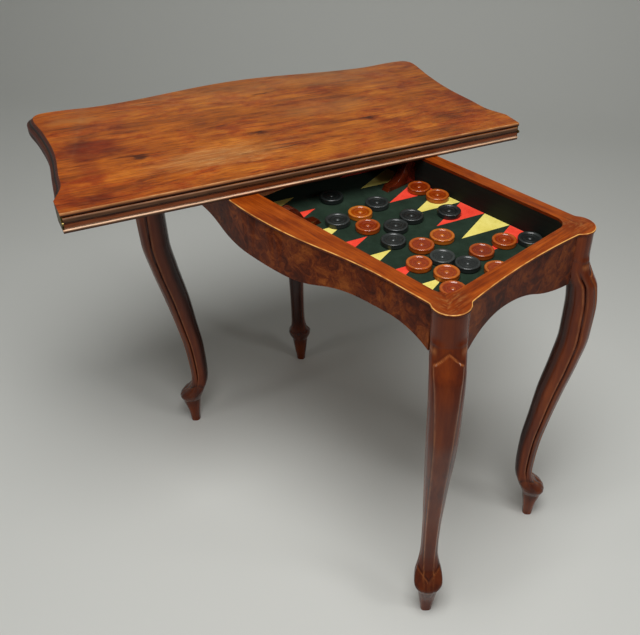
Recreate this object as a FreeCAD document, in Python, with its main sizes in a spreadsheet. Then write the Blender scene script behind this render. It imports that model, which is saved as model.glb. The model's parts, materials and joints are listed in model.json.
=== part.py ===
import FreeCAD, Part
import Sketcher
import math
import os

# A games table on four cabriole legs. A shaped frame holds a shallow tray for
# backgammon, and a folding top of two leaves turns on an upright pivot, so that
# it covers the tray or uncovers it. Lengths are in millimetres, +Z is up, +X runs
# along the frame, the shaped front faces -Y, and the origin is on the floor under
# the middle of the frame. The top is drawn turned aside, with its leaves folded.

os.makedirs("parts", exist_ok=True)
doc = FreeCAD.newDocument("games_table")
sheet = doc.addObject("Spreadsheet::Sheet", "sizes")

SIZES = {
    # the frame and its cap, measured at the cap's outer edge
    "frame_height": 700.0,
    "frame_half_width": 180.0,
    "frame_half_length": 371.0,
    "front_bulge_depth": 24.0,
    "front_bulge_end_length": 90.0,
    "end_hollow_depth": 7.0,
    "cap_thickness": 5.0,
    "cap_overhang": 2.0,
    "cap_edge_radius": 1.8,
    "ear_end_inset": 11.0,
    "ear_side_inset": 22.5,
    "ear_radius": 30.0,
    "ear_hollow_radius": 8.0,
    # the tray
    "end_border_width": 25.2,
    "side_border_width": 27.7,
    "tray_depth": 52.0,
    "tray_corner_radius": 25.0,
    "lining_thickness": 4.0,
    "baize_thickness": 1.0,
    "floor_thickness": 6.5,
    "floor_rebate_width": 8.0,
    "bar_half_width": 8.2,
    "bar_reach_length": 72.0,
    "bracket_top_gap": 1.5,
    "point_length": 97.0,
    "point_wall_gap": 0.6,
    "point_base_gap": 0.8,
    # the frame's rails
    "front_rail_depth": 84.0,
    "front_arch_height": 24.0,
    "front_lobe_half_length": 45.0,
    "front_arch_flat_length": 62.0,
    "front_arch_fall_length": 78.9,
    "end_rail_depth": 97.0,
    "end_arch_height": 38.0,
    "end_arch_peak_distance": 45.0,
    "back_rail_depth": 78.0,
    "tenon_length": 16.0,
    "tenon_thickness": 8.0,
    "tenon_height": 44.0,
    "tenon_top_gap": 8.0,
    "tenon_clearance": 0.1,
    # the legs
    "post_height": 60.0,
    "knee_reach_length": 56.0,
    "ankle_depth": 37.0,
    "knee_half_width": 27.0,
    "stile_height": 96.0,
    # the folding top
    "leaf_end_overhang": 44.0,
    "leaf_back_overhang": 18.0,
    "leaf_front_overhang": 22.5,
    "leaf_thickness": 16.7,
    "leaf_gap": 0.3,
    "leaf_clearance": 0.5,
    "leaf_end_length": 45.0,
    "leaf_ear_inset": 14.0,
    "leaf_ear_rise": 5.2,
    "leaf_ear_radius": 34.0,
    "leaf_bulge_depth": 28.7,
    "leaf_bulge_end_length": 135.0,
    "moulding_width": 12.0,
    "moulding_fade_length": 42.0,
    "hinge_moulding_width": 3.5,
    "border_width": 48.0,
    "panel_thickness": 1.0,
    "panel_clearance": 0.2,
    # the pivot
    "pivot_left_distance": 105.0,
    "pivot_back_distance": 87.0,
    "turn_angle": 107.4,
    "bridge_half_width": 17.0,
    "bridge_height": 23.0,
    "bridge_tenon_height": 12.0,
    "bridge_tenon_gap": 2.0,
    "bridge_tenon_length": 11.0,
    "bridge_top_gap": 1.0,
    "pivot_radius": 6.0,
    "pivot_clearance": 0.05,
    "stud_length": 37.0,
    "plate_radius": 30.0,
    "plate_thickness": 3.0,
    "washer_radius": 13.0,
    "washer_thickness": 1.8,
    "nut_width": 18.0,
    "nut_height": 7.0,
    "nut_clearance": 0.2,
    "peg_radius": 4.0,
    "peg_circle_radius": 40.0,
    "peg_length": 10.0,
    "peg_socket_depth": 6.0,
    "peg_slack_angle": 0.4,
    # the top's hinges, let into the ends of the leaves
    "hinge_length": 40.0,
    "hinge_height": 10.5,
    "hinge_thickness": 2.6,
    "hinge_eye_radius": 2.8,
    "hinge_pin_radius": 1.3,
    "hinge_clearance": 0.1,
    "hinge_screw_pitch": 12.0,
    "hinge_screw_start_distance": 9.0,
    # screws
    "screw_radius": 1.5,
    "screw_head_radius": 3.0,
    "screw_head_height": 1.6,
    "screw_length": 12.0,
    "screw_clearance": 0.05,
    "plate_screw_circle_radius": 22.0,
    "plate_screw_length": 11.0,
    "floor_screw_inset_distance": 4.0,
    "floor_screw_spacing_distance": 100.0,
    # glue blocks
    "block_length": 34.0,
    "block_thickness": 10.0,
    "block_height": 14.0,
    # the draughtsmen
    "man_clearance": 7.0,
    "man_thickness": 9.8,
    "man_rim_width": 3.6,
    "man_dish_depth": 2.0,
    "man_ring_distance": 4.2,
    "man_boss_radius": 3.0,
    "man_edge_radius": 1.0,
    "man_seat_gap": 0.1,
    # what a cutting shape reaches past the face that it opens
    "overrun": 2.0,
}

for row, (name, number) in enumerate(SIZES.items(), start=1):
    sheet.set(f"A{row}", name)
    sheet.set(f"B{row}", str(number))
    sheet.setAlias(f"B{row}", name)
doc.recompute()


class Size:
    """A length that knows its value and the sheet's cells that it comes from."""

    def __init__(self, value, words):
        self.value = value
        self.words = words

    def joined(self, sign, other, value):
        return Size(value, f"({self.words} {sign} {as_size(other).words})")

    def __add__(self, other):
        return self.joined("+", other, self.value + as_size(other).value)

    def __sub__(self, other):
        return self.joined("-", other, self.value - as_size(other).value)

    def __mul__(self, other):
        return self.joined("*", other, self.value * as_size(other).value)

    def __truediv__(self, other):
        return self.joined("/", other, self.value / as_size(other).value)

    def __neg__(self):
        return Size(-self.value, f"(0 - {self.words})")

    def root(self):
        return Size(math.sqrt(self.value), f"sqrt({self.words})")


def as_size(number):
    return number if isinstance(number, Size) else Size(float(number), repr(float(number)))


derived = {}


def cell(name):
    """A size in a cell of the sheet, with the expression that reads it, or one worked out from cells."""
    return derived[name] if name in derived else Size(float(getattr(sheet, name)), f"sizes.{name}")


def value(name):
    return cell(name).value


def smaller(first, second):
    return Size(min(first.value, second.value), f"min({first.words}; {second.words})")


derived["ear_x"] = cell("frame_half_length") - cell("ear_end_inset")
derived["ear_y"] = cell("frame_half_width") - cell("ear_side_inset")
derived["front_bulge_half_length"] = cell("ear_x") - cell("front_bulge_end_length")
derived["end_hollow_half_length"] = cell("ear_y") - cell("ear_radius")
derived["tray_half_length"] = cell("frame_half_length") - cell("end_border_width")
derived["tray_half_width"] = cell("frame_half_width") - cell("side_border_width")
derived["shank_height"] = cell("frame_height") - cell("post_height")
derived["hinge_edge_distance"] = cell("frame_half_width") + cell("leaf_back_overhang")
derived["leaf_half_length"] = cell("frame_half_length") + cell("leaf_end_overhang")
derived["leaf_depth"] = (cell("hinge_edge_distance") + cell("frame_half_width") + cell("front_bulge_depth")
                         + cell("leaf_front_overhang"))
derived["leaf_waist_depth"] = cell("leaf_depth") - cell("leaf_bulge_depth")
derived["leaf_ear_half_length"] = cell("leaf_half_length") - cell("leaf_ear_inset")
derived["leaf_ear_depth"] = cell("leaf_waist_depth") + cell("leaf_ear_rise")
derived["leaf_bulge_half_length"] = cell("leaf_half_length") - cell("leaf_bulge_end_length")


def at(x, y, z):
    return FreeCAD.Vector(x, y, z)


UP = at(0, 0, 1)
ORIGIN = at(0, 0, 0)

# Places that several pieces share, worked out from the sheet.
cap_low = cell("frame_height") - cell("cap_thickness")
tray_base = cell("frame_height") - cell("tray_depth")
board_top = tray_base - cell("baize_thickness")
board_low = board_top - cell("floor_thickness")
wall_long = cell("tray_half_length") + cell("lining_thickness")
wall_wide = cell("tray_half_width") + cell("lining_thickness")
rail_wide = cell("frame_half_width") - cell("cap_overhang")
rail_long = cell("frame_half_length") + cell("end_hollow_depth") - cell("cap_overhang")
post_radius = cell("ear_radius") - cell("cap_overhang")
rebate_long = wall_long + cell("floor_rebate_width")
rebate_wide = wall_wide + cell("floor_rebate_width")


def chord_end(centre, radius, offset):
    """How far a circle of this radius reaches at a given offset from its centre, towards the middle."""
    return centre - (radius * radius - offset * offset).root()


rail_end_long = chord_end(cell("ear_x"), post_radius, rail_wide - cell("ear_y"))
rail_end_wide = chord_end(cell("ear_y"), post_radius, rail_long - cell("ear_x"))


# Helpers for bound features

def label(piece, name):
    piece.Label = name
    return piece


def box(name, x, y, z):
    """A block from its low and high bounds along each axis."""
    piece = doc.addObject("Part::Box", name)
    for (low, high), side, axis in zip((x, y, z), ("Length", "Width", "Height"), "xyz"):
        piece.setExpression(side, (as_size(high) - low).words)
        piece.setExpression(f"Placement.Base.{axis}", as_size(low).words)
    return piece


def cylinder(name, radius, low, high, x=0, y=0):
    """An upright cylinder between two heights."""
    piece = doc.addObject("Part::Cylinder", name)
    piece.setExpression("Radius", as_size(radius).words)
    piece.setExpression("Height", (as_size(high) - low).words)
    for axis, place in zip("xyz", (x, y, low)):
        piece.setExpression(f"Placement.Base.{axis}", as_size(place).words)
    return piece


def fused(name, pieces):
    piece = doc.addObject("Part::MultiFuse", name)
    piece.Shapes = pieces
    piece.Refine = True
    return piece


def cut(name, base, tool):
    piece = doc.addObject("Part::Cut", name)
    piece.Base = base
    piece.Tool = tool
    return piece


def origin_plane(body, role):
    return next(item for item in body.Origin.OriginFeatures if item.Role == role)


def sketch(body, name, role, corners, bends=None, lift=None):
    """A closed outline on one of the body's own planes. Corners are pairs of sizes, and bends
    gives, for an edge's number, its radius and which side of the edge it bulges to."""
    drawing = body.newObject("Sketcher::SketchObject", name)
    drawing.AttachmentSupport = [(origin_plane(body, role), "")]
    drawing.MapMode = "FlatFace"
    if lift is not None:
        drawing.setExpression("AttachmentOffset.Base.z", lift.words)
    places = [(as_size(x), as_size(y)) for x, y in corners]
    flat = [at(x.value, y.value, 0) for x, y in places]
    for number, start in enumerate(flat):
        end = flat[(number + 1) % len(flat)]
        if bends and number in bends:
            radius, side = bends[number]
            chord = end - start
            half = chord.Length / 2
            rise = radius.value - math.sqrt(radius.value ** 2 - half ** 2)
            across = at(chord.y, -chord.x, 0) * (side * rise / chord.Length)
            first, last = (start, end) if side > 0 else (end, start)
            edge = Part.Arc(first, (start + end) * 0.5 + across, last)
        else:
            edge = Part.LineSegment(start, end)
        drawing.addGeometry(edge, False)
    backward = [bool(bends) and number in bends and bends[number][1] < 0 for number in range(len(flat))]
    for number, (x, y) in enumerate(places):
        point = 2 if backward[number] else 1
        for kind, size in (("DistanceX", x), ("DistanceY", y)):
            index = drawing.addConstraint(Sketcher.Constraint(kind, -1, 1, number, point, size.value))
            drawing.setExpression(f"Constraints[{index}]", size.words)
    for number in range(len(flat)):
        after = (number + 1) % len(flat)
        end_point = 1 if backward[number] else 2
        start_point = 2 if backward[after] else 1
        drawing.addConstraint(Sketcher.Constraint("Coincident", number, end_point, after, start_point))
    for number, (radius, side) in (bends or {}).items():
        index = drawing.addConstraint(Sketcher.Constraint("Radius", number, radius.value))
        drawing.setExpression(f"Constraints[{index}]", radius.words)
    return drawing


def pad(body, name, drawing, length, both_ways=False):
    feature = body.newObject("PartDesign::Pad", name)
    feature.Profile = drawing
    feature.setExpression("Length", as_size(length).words)
    feature.Midplane = both_ways
    drawing.Visibility = False
    return feature


def pocket(body, name, drawing, length, backwards=False, both_ways=False):
    feature = body.newObject("PartDesign::Pocket", name)
    feature.Profile = drawing
    feature.setExpression("Length", as_size(length).words)
    feature.Reversed = backwards
    feature.Midplane = both_ways
    drawing.Visibility = False
    return feature


def new_body(name):
    return doc.addObject("PartDesign::Body", name)


def solid_piece(name, shape, placement=None):
    """A piece whose own form is worked out here."""
    piece = doc.addObject("Part::Feature", name)
    piece.Shape = shape
    if placement is not None:
        piece.Placement = placement.multiply(piece.Placement)
    return piece


def swelling_radius(half_run, half_rise):
    """The radius of two equal arcs that make a smooth step of this run and rise."""
    return (half_run * half_run + half_rise * half_rise) / (half_rise * 2)


# The frame's rails. Each is a shaped board with a rebate for the tray's floor and
# a tenon at each end that enters the leg.

def rail_tenons(name, along, low, high, centre, reach):
    """Tenons at both ends of a rail, along X or along Y."""
    half = cell("tenon_thickness") / 2
    across = (centre - half, centre + half)
    spans = ((-reach - cell("tenon_length"), -reach), (reach, reach + cell("tenon_length")))
    made = []
    for number, span in enumerate(spans):
        x, y = (span, across) if along == "x" else (across, span)
        made.append(box(f"{name}_tenon_{number}", x, y, (low, high)))
    return made


def bridge_mortise(name, side):
    """Room in a rail for the end of the pivot bridge."""
    low = cell("frame_height") - cell("bridge_top_gap") - cell("bridge_height") + cell("bridge_tenon_gap")
    near = cell("tray_half_width") * side
    far = (cell("tray_half_width") + cell("bridge_tenon_length")) * side
    y = (near, far) if side > 0 else (far, near)
    x = (-cell("pivot_left_distance") - cell("bridge_half_width"), -cell("pivot_left_distance") + cell("bridge_half_width"))
    return box(name, x, y, (low, low + cell("bridge_tenon_height")))


def front_rail():
    """The serpentine front: a board swept out in the middle, its lower edge shaped."""
    body = new_body("front_rail_board")
    half = cell("front_bulge_half_length")
    radius = swelling_radius(half / 2, cell("front_bulge_depth") / 2)
    middle = -rail_wide - cell("front_bulge_depth") / 2
    low = cell("frame_height") - cell("front_rail_depth")
    plan = [
        (-rail_end_long, -wall_wide), (-rail_end_long, -rail_wide), (-half, -rail_wide), (-half / 2, middle),
        (half / 2, middle), (half, -rail_wide), (rail_end_long, -rail_wide), (rail_end_long, -wall_wide),
    ]
    bends = {2: (radius, -1), 3: (radius, 1), 4: (radius, -1)}
    outline = sketch(body, "front_plan", "XY_Plane", plan, bends, low)
    pad(body, "front_board", outline, cap_low - low)
    doc.recompute()
    arch_top = low + cell("front_arch_height")
    lobe = cell("front_lobe_half_length")
    arch_end = rail_end_long - cell("front_arch_fall_length")
    start = arch_end - cell("front_arch_flat_length")
    step = (start - lobe) / 2
    step_radius = swelling_radius(step, cell("front_arch_height") / 2)
    fall = cell("front_arch_fall_length")
    fall_radius = (fall * fall + cell("front_arch_height") * cell("front_arch_height")) / (cell("front_arch_height") * 2)
    below = low - cell("overrun")
    for side, word in ((1, "right"), (-1, "left")):
        edge = [
            (lobe * side, low), ((lobe + step) * side, low + cell("front_arch_height") / 2), (start * side, arch_top),
            (arch_end * side, arch_top), (rail_end_long * side, low), (rail_end_long * side, below),
            (lobe * side, below),
        ]
        curves = {0: (step_radius, side), 1: (step_radius, -side), 3: (fall_radius, -side)}
        shape = sketch(body, f"front_edge_{word}", "XZ_Plane", edge, curves)
        pocket(body, f"front_shaping_{word}", shape, cell("frame_half_width") * 3, both_ways=True)
        doc.recompute()
    rebate = [
        (-rail_end_long, -wall_wide), (-rail_end_long, -rebate_wide),
        (rail_end_long, -rebate_wide), (rail_end_long, -wall_wide),
    ]
    drawing = sketch(body, "front_rebate_plan", "XY_Plane", rebate, None, board_top)
    pocket(body, "front_rebate", drawing, cell("front_rail_depth"))
    doc.recompute()
    return finish_rail("front_rail", body, -1)


def finish_rail(name, board, side):
    """A long rail with its tenons, less the seat of the pivot bridge."""
    centre = (wall_wide + rail_wide) / 2 * side
    high = cap_low - cell("tenon_top_gap")
    whole = fused(f"{name}_joined", [board] + rail_tenons(name, "x", high - cell("tenon_height"), high, centre, rail_end_long))
    return label(cut(f"{name}_cut", whole, bridge_mortise(f"{name}_mortise", side)), name)


def back_rail():
    """The plain rail at the back, straight on both faces."""
    low = cell("frame_height") - cell("back_rail_depth")
    board = box("back_rail_board", (-rail_end_long, rail_end_long), (wall_wide, rail_wide), (low, cap_low))
    rebate = box("back_rebate", (-rail_end_long, rail_end_long), (wall_wide, rebate_wide), (low - cell("overrun"), board_top))
    return finish_rail("back_rail", cut("back_rail_rebated", board, rebate), 1)


def end_rail(name, side):
    """A rail at one end, slightly hollow outside, its lower edge rising near the front leg."""
    body = new_body(f"{name}_board")
    low = cell("frame_height") - cell("end_rail_depth")
    end = rail_end_wide
    hollow = (end * end + cell("end_hollow_depth") * cell("end_hollow_depth")) / (cell("end_hollow_depth") * 2)
    plan = [(wall_long * side, -end), (wall_long * side, end), (rail_long * side, end), (rail_long * side, -end)]
    outline = sketch(body, f"{name}_plan", "XY_Plane", plan, {2: (hollow, side)}, low)
    pad(body, f"{name}_block", outline, cap_low - low)
    doc.recompute()
    peak = -cell("end_arch_peak_distance")
    arch_top = low + cell("end_arch_height")
    rise = end - cell("end_arch_peak_distance")
    rise_radius = (rise * rise + cell("end_arch_height") * cell("end_arch_height")) / (cell("end_arch_height") * 2)
    run = (end + cell("end_arch_peak_distance")) / 2
    step_radius = swelling_radius(run, cell("end_arch_height") / 2)
    below = low - cell("overrun")
    edge = [(-end, low), (peak, arch_top), (peak + run, low + cell("end_arch_height") / 2), (end, low), (end, below), (-end, below)]
    curves = {0: (rise_radius, -1), 1: (step_radius, -1), 2: (step_radius, 1)}
    drawing = sketch(body, f"{name}_edge", "YZ_Plane", edge, curves)
    pocket(body, f"{name}_shaping", drawing, cell("frame_half_length") * 3, both_ways=True)
    doc.recompute()
    rebate = [
        (wall_long * side, -end), (wall_long * side, end), (rebate_long * side, end), (rebate_long * side, -end),
    ]
    drawing = sketch(body, f"{name}_rebate_plan", "XY_Plane", rebate, None, board_top)
    pocket(body, f"{name}_rebate", drawing, cell("end_rail_depth"))
    doc.recompute()
    centre = (wall_long + cell("frame_half_length") - cell("cap_overhang")) / 2 * side
    high = cap_low - cell("tenon_top_gap")
    made = fused(f"{name}_joined", [body] + rail_tenons(name, "y", high - cell("tenon_height"), high, centre, end))
    return label(made, name)


# The legs. Each is one piece with its post: a stile that takes the rails, a rounded
# pilaster on the corner, and a cabriole shank whose sections stand square to the
# diagonal of the corner.

# Each section: its height, how far it reaches outwards and inwards along the diagonal,
# and its half width, as shares of the leg's length, knee and ankle.
leg_section_shares = (
    (1.000, 0.46, 0.59, 0.97), (0.981, 0.55, 0.54, 1.00), (0.956, 0.71, 0.38, 1.00), (0.922, 0.89, 0.05, 1.00),
    (0.845, 1.00, -0.08, 0.96), (0.753, 0.98, -0.07, 0.93), (0.656, 0.79, 0.16, 0.87), (0.538, 0.48, 0.54, 0.76),
    (0.433, 0.23, 0.76, 0.67), (0.336, 0.045, 0.96, 0.59), (0.256, -0.03, 1.00, 0.57), (0.211, -0.05, 0.98, 0.59),
    (0.164, -0.02, 0.84, 0.73), (0.138, 0.12, 0.68, 0.83), (0.117, 0.38, 0.54, 0.89), (0.092, 0.50, 0.38, 0.87),
    (0.063, 0.50, 0.22, 0.74), (0.041, 0.36, 0.16, 0.56), (0.016, 0.29, 0.13, 0.43), (0.000, 0.28, 0.12, 0.39),
)
# Half of a section's outline from the front to the back: depth from the inner side, and width.
section_outline_shares = (
    (1.00, 0.00), (0.96, 0.62), (0.89, 0.66), (0.86, 0.82), (0.68, 1.00), (0.30, 0.95), (0.08, 0.60), (0.00, 0.00),
)


def leg_section(share_of_height, outer_share, inner_share, width_share):
    """One closed section of the shank, in the corner's own axes: x outwards, y across."""
    outer = value("knee_reach_length") * outer_share
    inner = -value("ankle_depth") * inner_share
    half = value("knee_half_width") * width_share
    height = value("shank_height") * share_of_height
    side = [(inner + (outer - inner) * depth, half * width) for depth, width in section_outline_shares]
    other = [(x, -y) for x, y in side[-2:0:-1]]
    points = [at(x, y, height) for x, y in side + other]
    return Part.makePolygon(points + points[:1])


def stile():
    """The post inside the corner: flat where the rails meet it and round outside."""
    ear = at(value("ear_x"), value("ear_y"), 0)
    low = value("frame_height") - value("stile_height")
    first = at(rail_end_long.value, rail_wide.value, 0)
    last = at(rail_long.value, rail_end_wide.value, 0)
    out = at(1, 1, 0).normalize()
    corner = at(wall_long.value, wall_wide.value, 0)
    side_a = at(first.x, corner.y, 0)
    side_b = at(corner.x, last.y, 0)
    edges = [
        Part.makeLine(side_a, first),
        Part.Arc(first, ear + out * post_radius.value, last).toShape(),
        Part.makeLine(last, side_b),
        Part.makeLine(side_b, corner),
        Part.makeLine(corner, side_a),
    ]
    outline = Part.Face(Part.Wire(edges))
    outline.translate(at(0, 0, value("shank_height")))
    post = outline.extrude(UP * (cap_low.value - value("shank_height")))
    inner = [side_a, at(first.x, ear.y, 0), ear, at(ear.x, last.y, 0), side_b, corner, side_a]
    core = Part.Face(Part.makePolygon(inner))
    core.translate(at(0, 0, low))
    return post.fuse(core.extrude(UP * (value("shank_height") - low)))


def mortises():
    """The rooms for the two rails' tenons, in the corner where x and y are positive."""
    gap = value("tenon_clearance")
    high = cap_low.value - value("tenon_top_gap") + gap
    tall = value("tenon_height") + gap * 2
    thick = value("tenon_thickness") + gap * 2
    deep = value("tenon_length") + gap
    across = (wall_wide.value + rail_wide.value) / 2 - thick / 2
    along = (wall_long.value + value("frame_half_length") - value("cap_overhang")) / 2 - thick / 2
    long_rail = Part.makeBox(deep, thick, tall, at(rail_end_long.value, across, high - tall))
    end_board = Part.makeBox(thick, deep, tall, at(along, rail_end_wide.value, high - tall))
    return [long_rail, end_board]


def leg_shape():
    """A whole leg for the corner where x and y are positive."""
    shank = Part.makeLoft([leg_section(*shares) for shares in leg_section_shares], True, False)
    shank.rotate(ORIGIN, UP, 45)
    shank.translate(at(value("ear_x"), value("ear_y"), 0))
    # the rails' ends and the tray keep the inside of the corner
    keep = Part.makeBox(value("shank_height"), value("shank_height"), value("shank_height") * 2,
                        at(rail_end_long.value, rail_end_wide.value, -value("overrun")))
    low = value("frame_height") - value("end_rail_depth")
    upper = Part.makeBox(value("shank_height"), value("shank_height"), value("shank_height"), at(0, 0, low))
    head = shank.common(upper).common(keep)
    tray_corner = Part.makeBox(wall_long.value, wall_wide.value, value("shank_height"), at(0, 0, low - value("overrun")))
    leg = shank.cut(upper).fuse([head.cut(tray_corner), stile()])
    return leg.cut(mortises()).removeSplitter()


def legs():
    """The leg is drawn once and mirrored to the other corners."""
    leg = leg_shape()
    across = leg.mirror(ORIGIN, at(0, 1, 0))
    made = [solid_piece("back_right_leg", leg), solid_piece("front_right_leg", across)]
    made.append(solid_piece("back_left_leg", leg.mirror(ORIGIN, at(1, 0, 0))))
    made.append(solid_piece("front_left_leg", across.mirror(ORIGIN, at(1, 0, 0))))
    return made


# The cap: four flat mouldings mitred at the corners, whose ears follow the posts.

def meeting(first, first_reach, second, second_reach, side):
    """Where two circles cross, on one side of the line from the first centre to the second."""
    line = second - first
    along = (first_reach ** 2 - second_reach ** 2 + line.Length ** 2) / (line.Length * 2)
    across = math.sqrt(first_reach ** 2 - along ** 2)
    way = at(line.x, line.y, 0).normalize()
    return first + way * along + at(-way.y, way.x, 0) * (across * side)


def cap_corner():
    """The outer edge round one ear, from the long side to the end, for positive x and y."""
    ear = at(value("ear_x"), value("ear_y"), 0)
    hollow = value("ear_hollow_radius")
    reach = value("ear_radius") + hollow
    wide = value("frame_half_width")
    rise = wide + hollow - ear.y
    centre_a = at(ear.x - math.sqrt(reach ** 2 - rise ** 2), ear.y + rise, 0)
    end_radius = (value("end_hollow_half_length") ** 2 + value("end_hollow_depth") ** 2) / (value("end_hollow_depth") * 2)
    end_centre = at(value("frame_half_length") + end_radius, 0, 0)
    centre_b = meeting(ear, reach, end_centre, end_radius - hollow, 1)
    if centre_b.y > ear.y:
        centre_b = meeting(ear, reach, end_centre, end_radius - hollow, -1)
    share = value("ear_radius") / reach
    meet_a = ear + (centre_a - ear) * share
    meet_b = ear + (centre_b - ear) * share
    start = at(centre_a.x, wide, 0)
    end = end_centre + (centre_b - end_centre).normalize() * end_radius
    middle_a = centre_a + ((start - centre_a) + (meet_a - centre_a)).normalize() * hollow
    middle_b = centre_b + ((end - centre_b) + (meet_b - centre_b)).normalize() * hollow
    top = ear + at(1, 1, 0).normalize() * value("ear_radius")
    return [(start, middle_a, meet_a), (meet_a, top, meet_b), (meet_b, middle_b, end)]


def mirrored(arcs, x, y):
    return [tuple(at(point.x * x, point.y * y, 0) for point in arc) for arc in arcs]


def backwards(arcs):
    return [arc[::-1] for arc in arcs[::-1]]


def cap_outline():
    """The whole outer edge of the cap, as arcs and straight runs."""
    corner = cap_corner()
    long_end = corner[0][0].x
    end = corner[2][2]
    wide = value("frame_half_width")
    half = value("front_bulge_half_length")
    bulge = value("front_bulge_depth")
    radius = swelling_radius(cell("front_bulge_half_length") / 2, cell("front_bulge_depth") / 2).value
    quarter = radius - math.sqrt(radius ** 2 - (half / 4) ** 2)
    front = [
        (at(-half, -wide, 0), at(-half * 3 / 4, -wide - quarter, 0), at(-half / 2, -wide - bulge / 2, 0)),
        (at(-half / 2, -wide - bulge / 2, 0), at(0, -wide - bulge, 0), at(half / 2, -wide - bulge / 2, 0)),
        (at(half / 2, -wide - bulge / 2, 0), at(half * 3 / 4, -wide - quarter, 0), at(half, -wide, 0)),
    ]
    right = [(at(end.x, -end.y, 0), at(value("frame_half_length"), 0, 0), end)]
    left = [tuple(at(-point.x, -point.y, 0) for point in right[0])]
    runs = [
        front, mirrored(corner, 1, -1), right, backwards(mirrored(corner, 1, 1)),
        mirrored(corner, -1, 1), left, backwards(mirrored(corner, -1, -1)),
    ]
    edges = []
    last = at(-long_end, -wide, 0)
    for run in runs:
        for start, middle, end in run:
            if (start - last).Length > value("cap_edge_radius"):
                edges.append(Part.makeLine(last, start))
            edges.append(Part.Arc(start, middle, end).toShape())
            last = end
    return Part.Wire(edges)


def tray_outline(long, wide, corner):
    """A rectangle with rounded corners."""
    face = Part.makePlane(long * 2, wide * 2, at(-long, -wide, 0))
    block = face.extrude(UP)
    upright = [edge for edge in block.Edges if abs(edge.tangentAt(edge.FirstParameter).z) > 0.5]
    rounded = block.makeFillet(corner, upright)
    low = min(rounded.Faces, key=lambda side: side.CenterOfMass.z)
    return low.OuterWire


def caps():
    """The four strips, cut from one shaped ring along the mitres."""
    outer = cap_outline()
    inner = tray_outline(value("tray_half_length"), value("tray_half_width"), value("tray_corner_radius"))
    thick = value("cap_thickness")
    plate = Part.Face(outer).extrude(UP * thick)
    rim = [edge for edge in plate.Edges if abs(edge.CenterOfMass.z - thick / 2) > thick / 4]
    plate = plate.makeFillet(value("cap_edge_radius"), rim)
    opening = Part.Face(inner).extrude(UP * (thick + value("overrun") * 2))
    opening.translate(at(0, 0, -value("overrun")))
    ring = plate.cut(opening)
    ring.translate(at(0, 0, cap_low.value))
    reach = value("leaf_half_length")
    start = value("tray_half_length") - value("tray_half_width")
    low = cap_low.value - value("overrun")
    right = [at(start, 0, low), at(start + reach, -reach, low), at(start + reach, reach, low), at(start, 0, low)]
    back = [at(-start, 0, low), at(start, 0, low), at(start + reach, reach, low), at(-start - reach, reach, low), at(-start, 0, low)]
    tall = UP * (thick + value("overrun") * 2)
    right_wedge = Part.Face(Part.makePolygon(right)).extrude(tall)
    back_wedge = Part.Face(Part.makePolygon(back)).extrude(tall)
    return [
        solid_piece("right_cap", ring.common(right_wedge)),
        solid_piece("left_cap", ring.common(right_wedge.mirror(ORIGIN, at(1, 0, 0)))),
        solid_piece("back_cap", ring.common(back_wedge)),
        solid_piece("front_cap", ring.common(back_wedge.mirror(ORIGIN, at(0, 1, 0)))),
    ]


# The tray: a board let into the rails' rebates, its baize with the inlaid points, and
# the lining of the walls.

def floor_screw_places():
    """Where the screws hold the board to the rails' shoulders, along the two long sides."""
    inset = wall_wide.value + value("floor_screw_inset_distance")
    spacing = value("floor_screw_spacing_distance")
    count = int(rail_end_long.value / spacing)
    return [(spacing * number, side * inset) for number in range(-count, count + 1) for side in (-1, 1)]


def screw(length, radius=None, head=None):
    """A countersunk screw that points up, its head's flat face at zero."""
    radius = radius or value("screw_radius")
    head = head or value("screw_head_radius")
    shank = Part.makeCylinder(radius, length)
    cone = Part.makeCone(head, radius, value("screw_head_height"))
    return shank.fuse(cone).removeSplitter()


def screw_room(length):
    """What a screw takes out of the wood, a little larger all round."""
    gap = value("screw_clearance")
    shank = Part.makeCylinder(value("screw_radius") + gap, length + gap)
    cone = Part.makeCone(value("screw_head_radius") + gap, value("screw_radius") + gap, value("screw_head_height"))
    return shank.fuse(cone).removeSplitter()


def tray_floor():
    long_board = box("floor_long", (-rail_end_long, rail_end_long), (-rebate_wide, rebate_wide), (board_low, board_top))
    middle = box("floor_middle", (-wall_long, wall_long), (-wall_wide, wall_wide), (board_low, board_top))
    wide_board = box("floor_wide", (-rebate_long, rebate_long), (-rail_end_wide, rail_end_wide), (board_low, board_top))
    return fused("floor_board", [long_board, middle, wide_board])


def drilled(name, board, rooms):
    """A board less the rooms of its screws."""
    piece = doc.addObject("Part::Feature", name)
    piece.Shape = board.Shape.cut(rooms)
    return piece


def point_bases():
    """The middle of each point's base and the way it points, in order along each wall."""
    start = value("bar_half_width")
    pitch = (value("tray_half_length") - start) / 6
    places = []
    for number in range(6):
        along = start + pitch * (number + 1 / 2)
        for x in (along, -along):
            for side in (1, -1):
                places.append((x, side, number))
    return places, pitch


def points():
    """The long triangles of the board: their colours alternate along each wall and face each other unlike."""
    places, pitch = point_bases()
    half = pitch / 2 - value("point_base_gap") / 2
    wall = value("tray_half_width") - value("point_wall_gap")
    low = board_top.value
    red = []
    yellow = []
    for x, side, number in places:
        base = wall * side
        tip = (value("tray_half_width") - value("point_length")) * side
        outline = [at(x - half, base, low), at(x + half, base, low), at(x, tip, low), at(x - half, base, low)]
        prism = Part.Face(Part.makePolygon(outline)).extrude(UP * value("baize_thickness"))
        is_red = (number % 2 == 0) == ((x > 0) == (side > 0))
        (red if is_red else yellow).append(prism)
    return red, yellow


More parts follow.
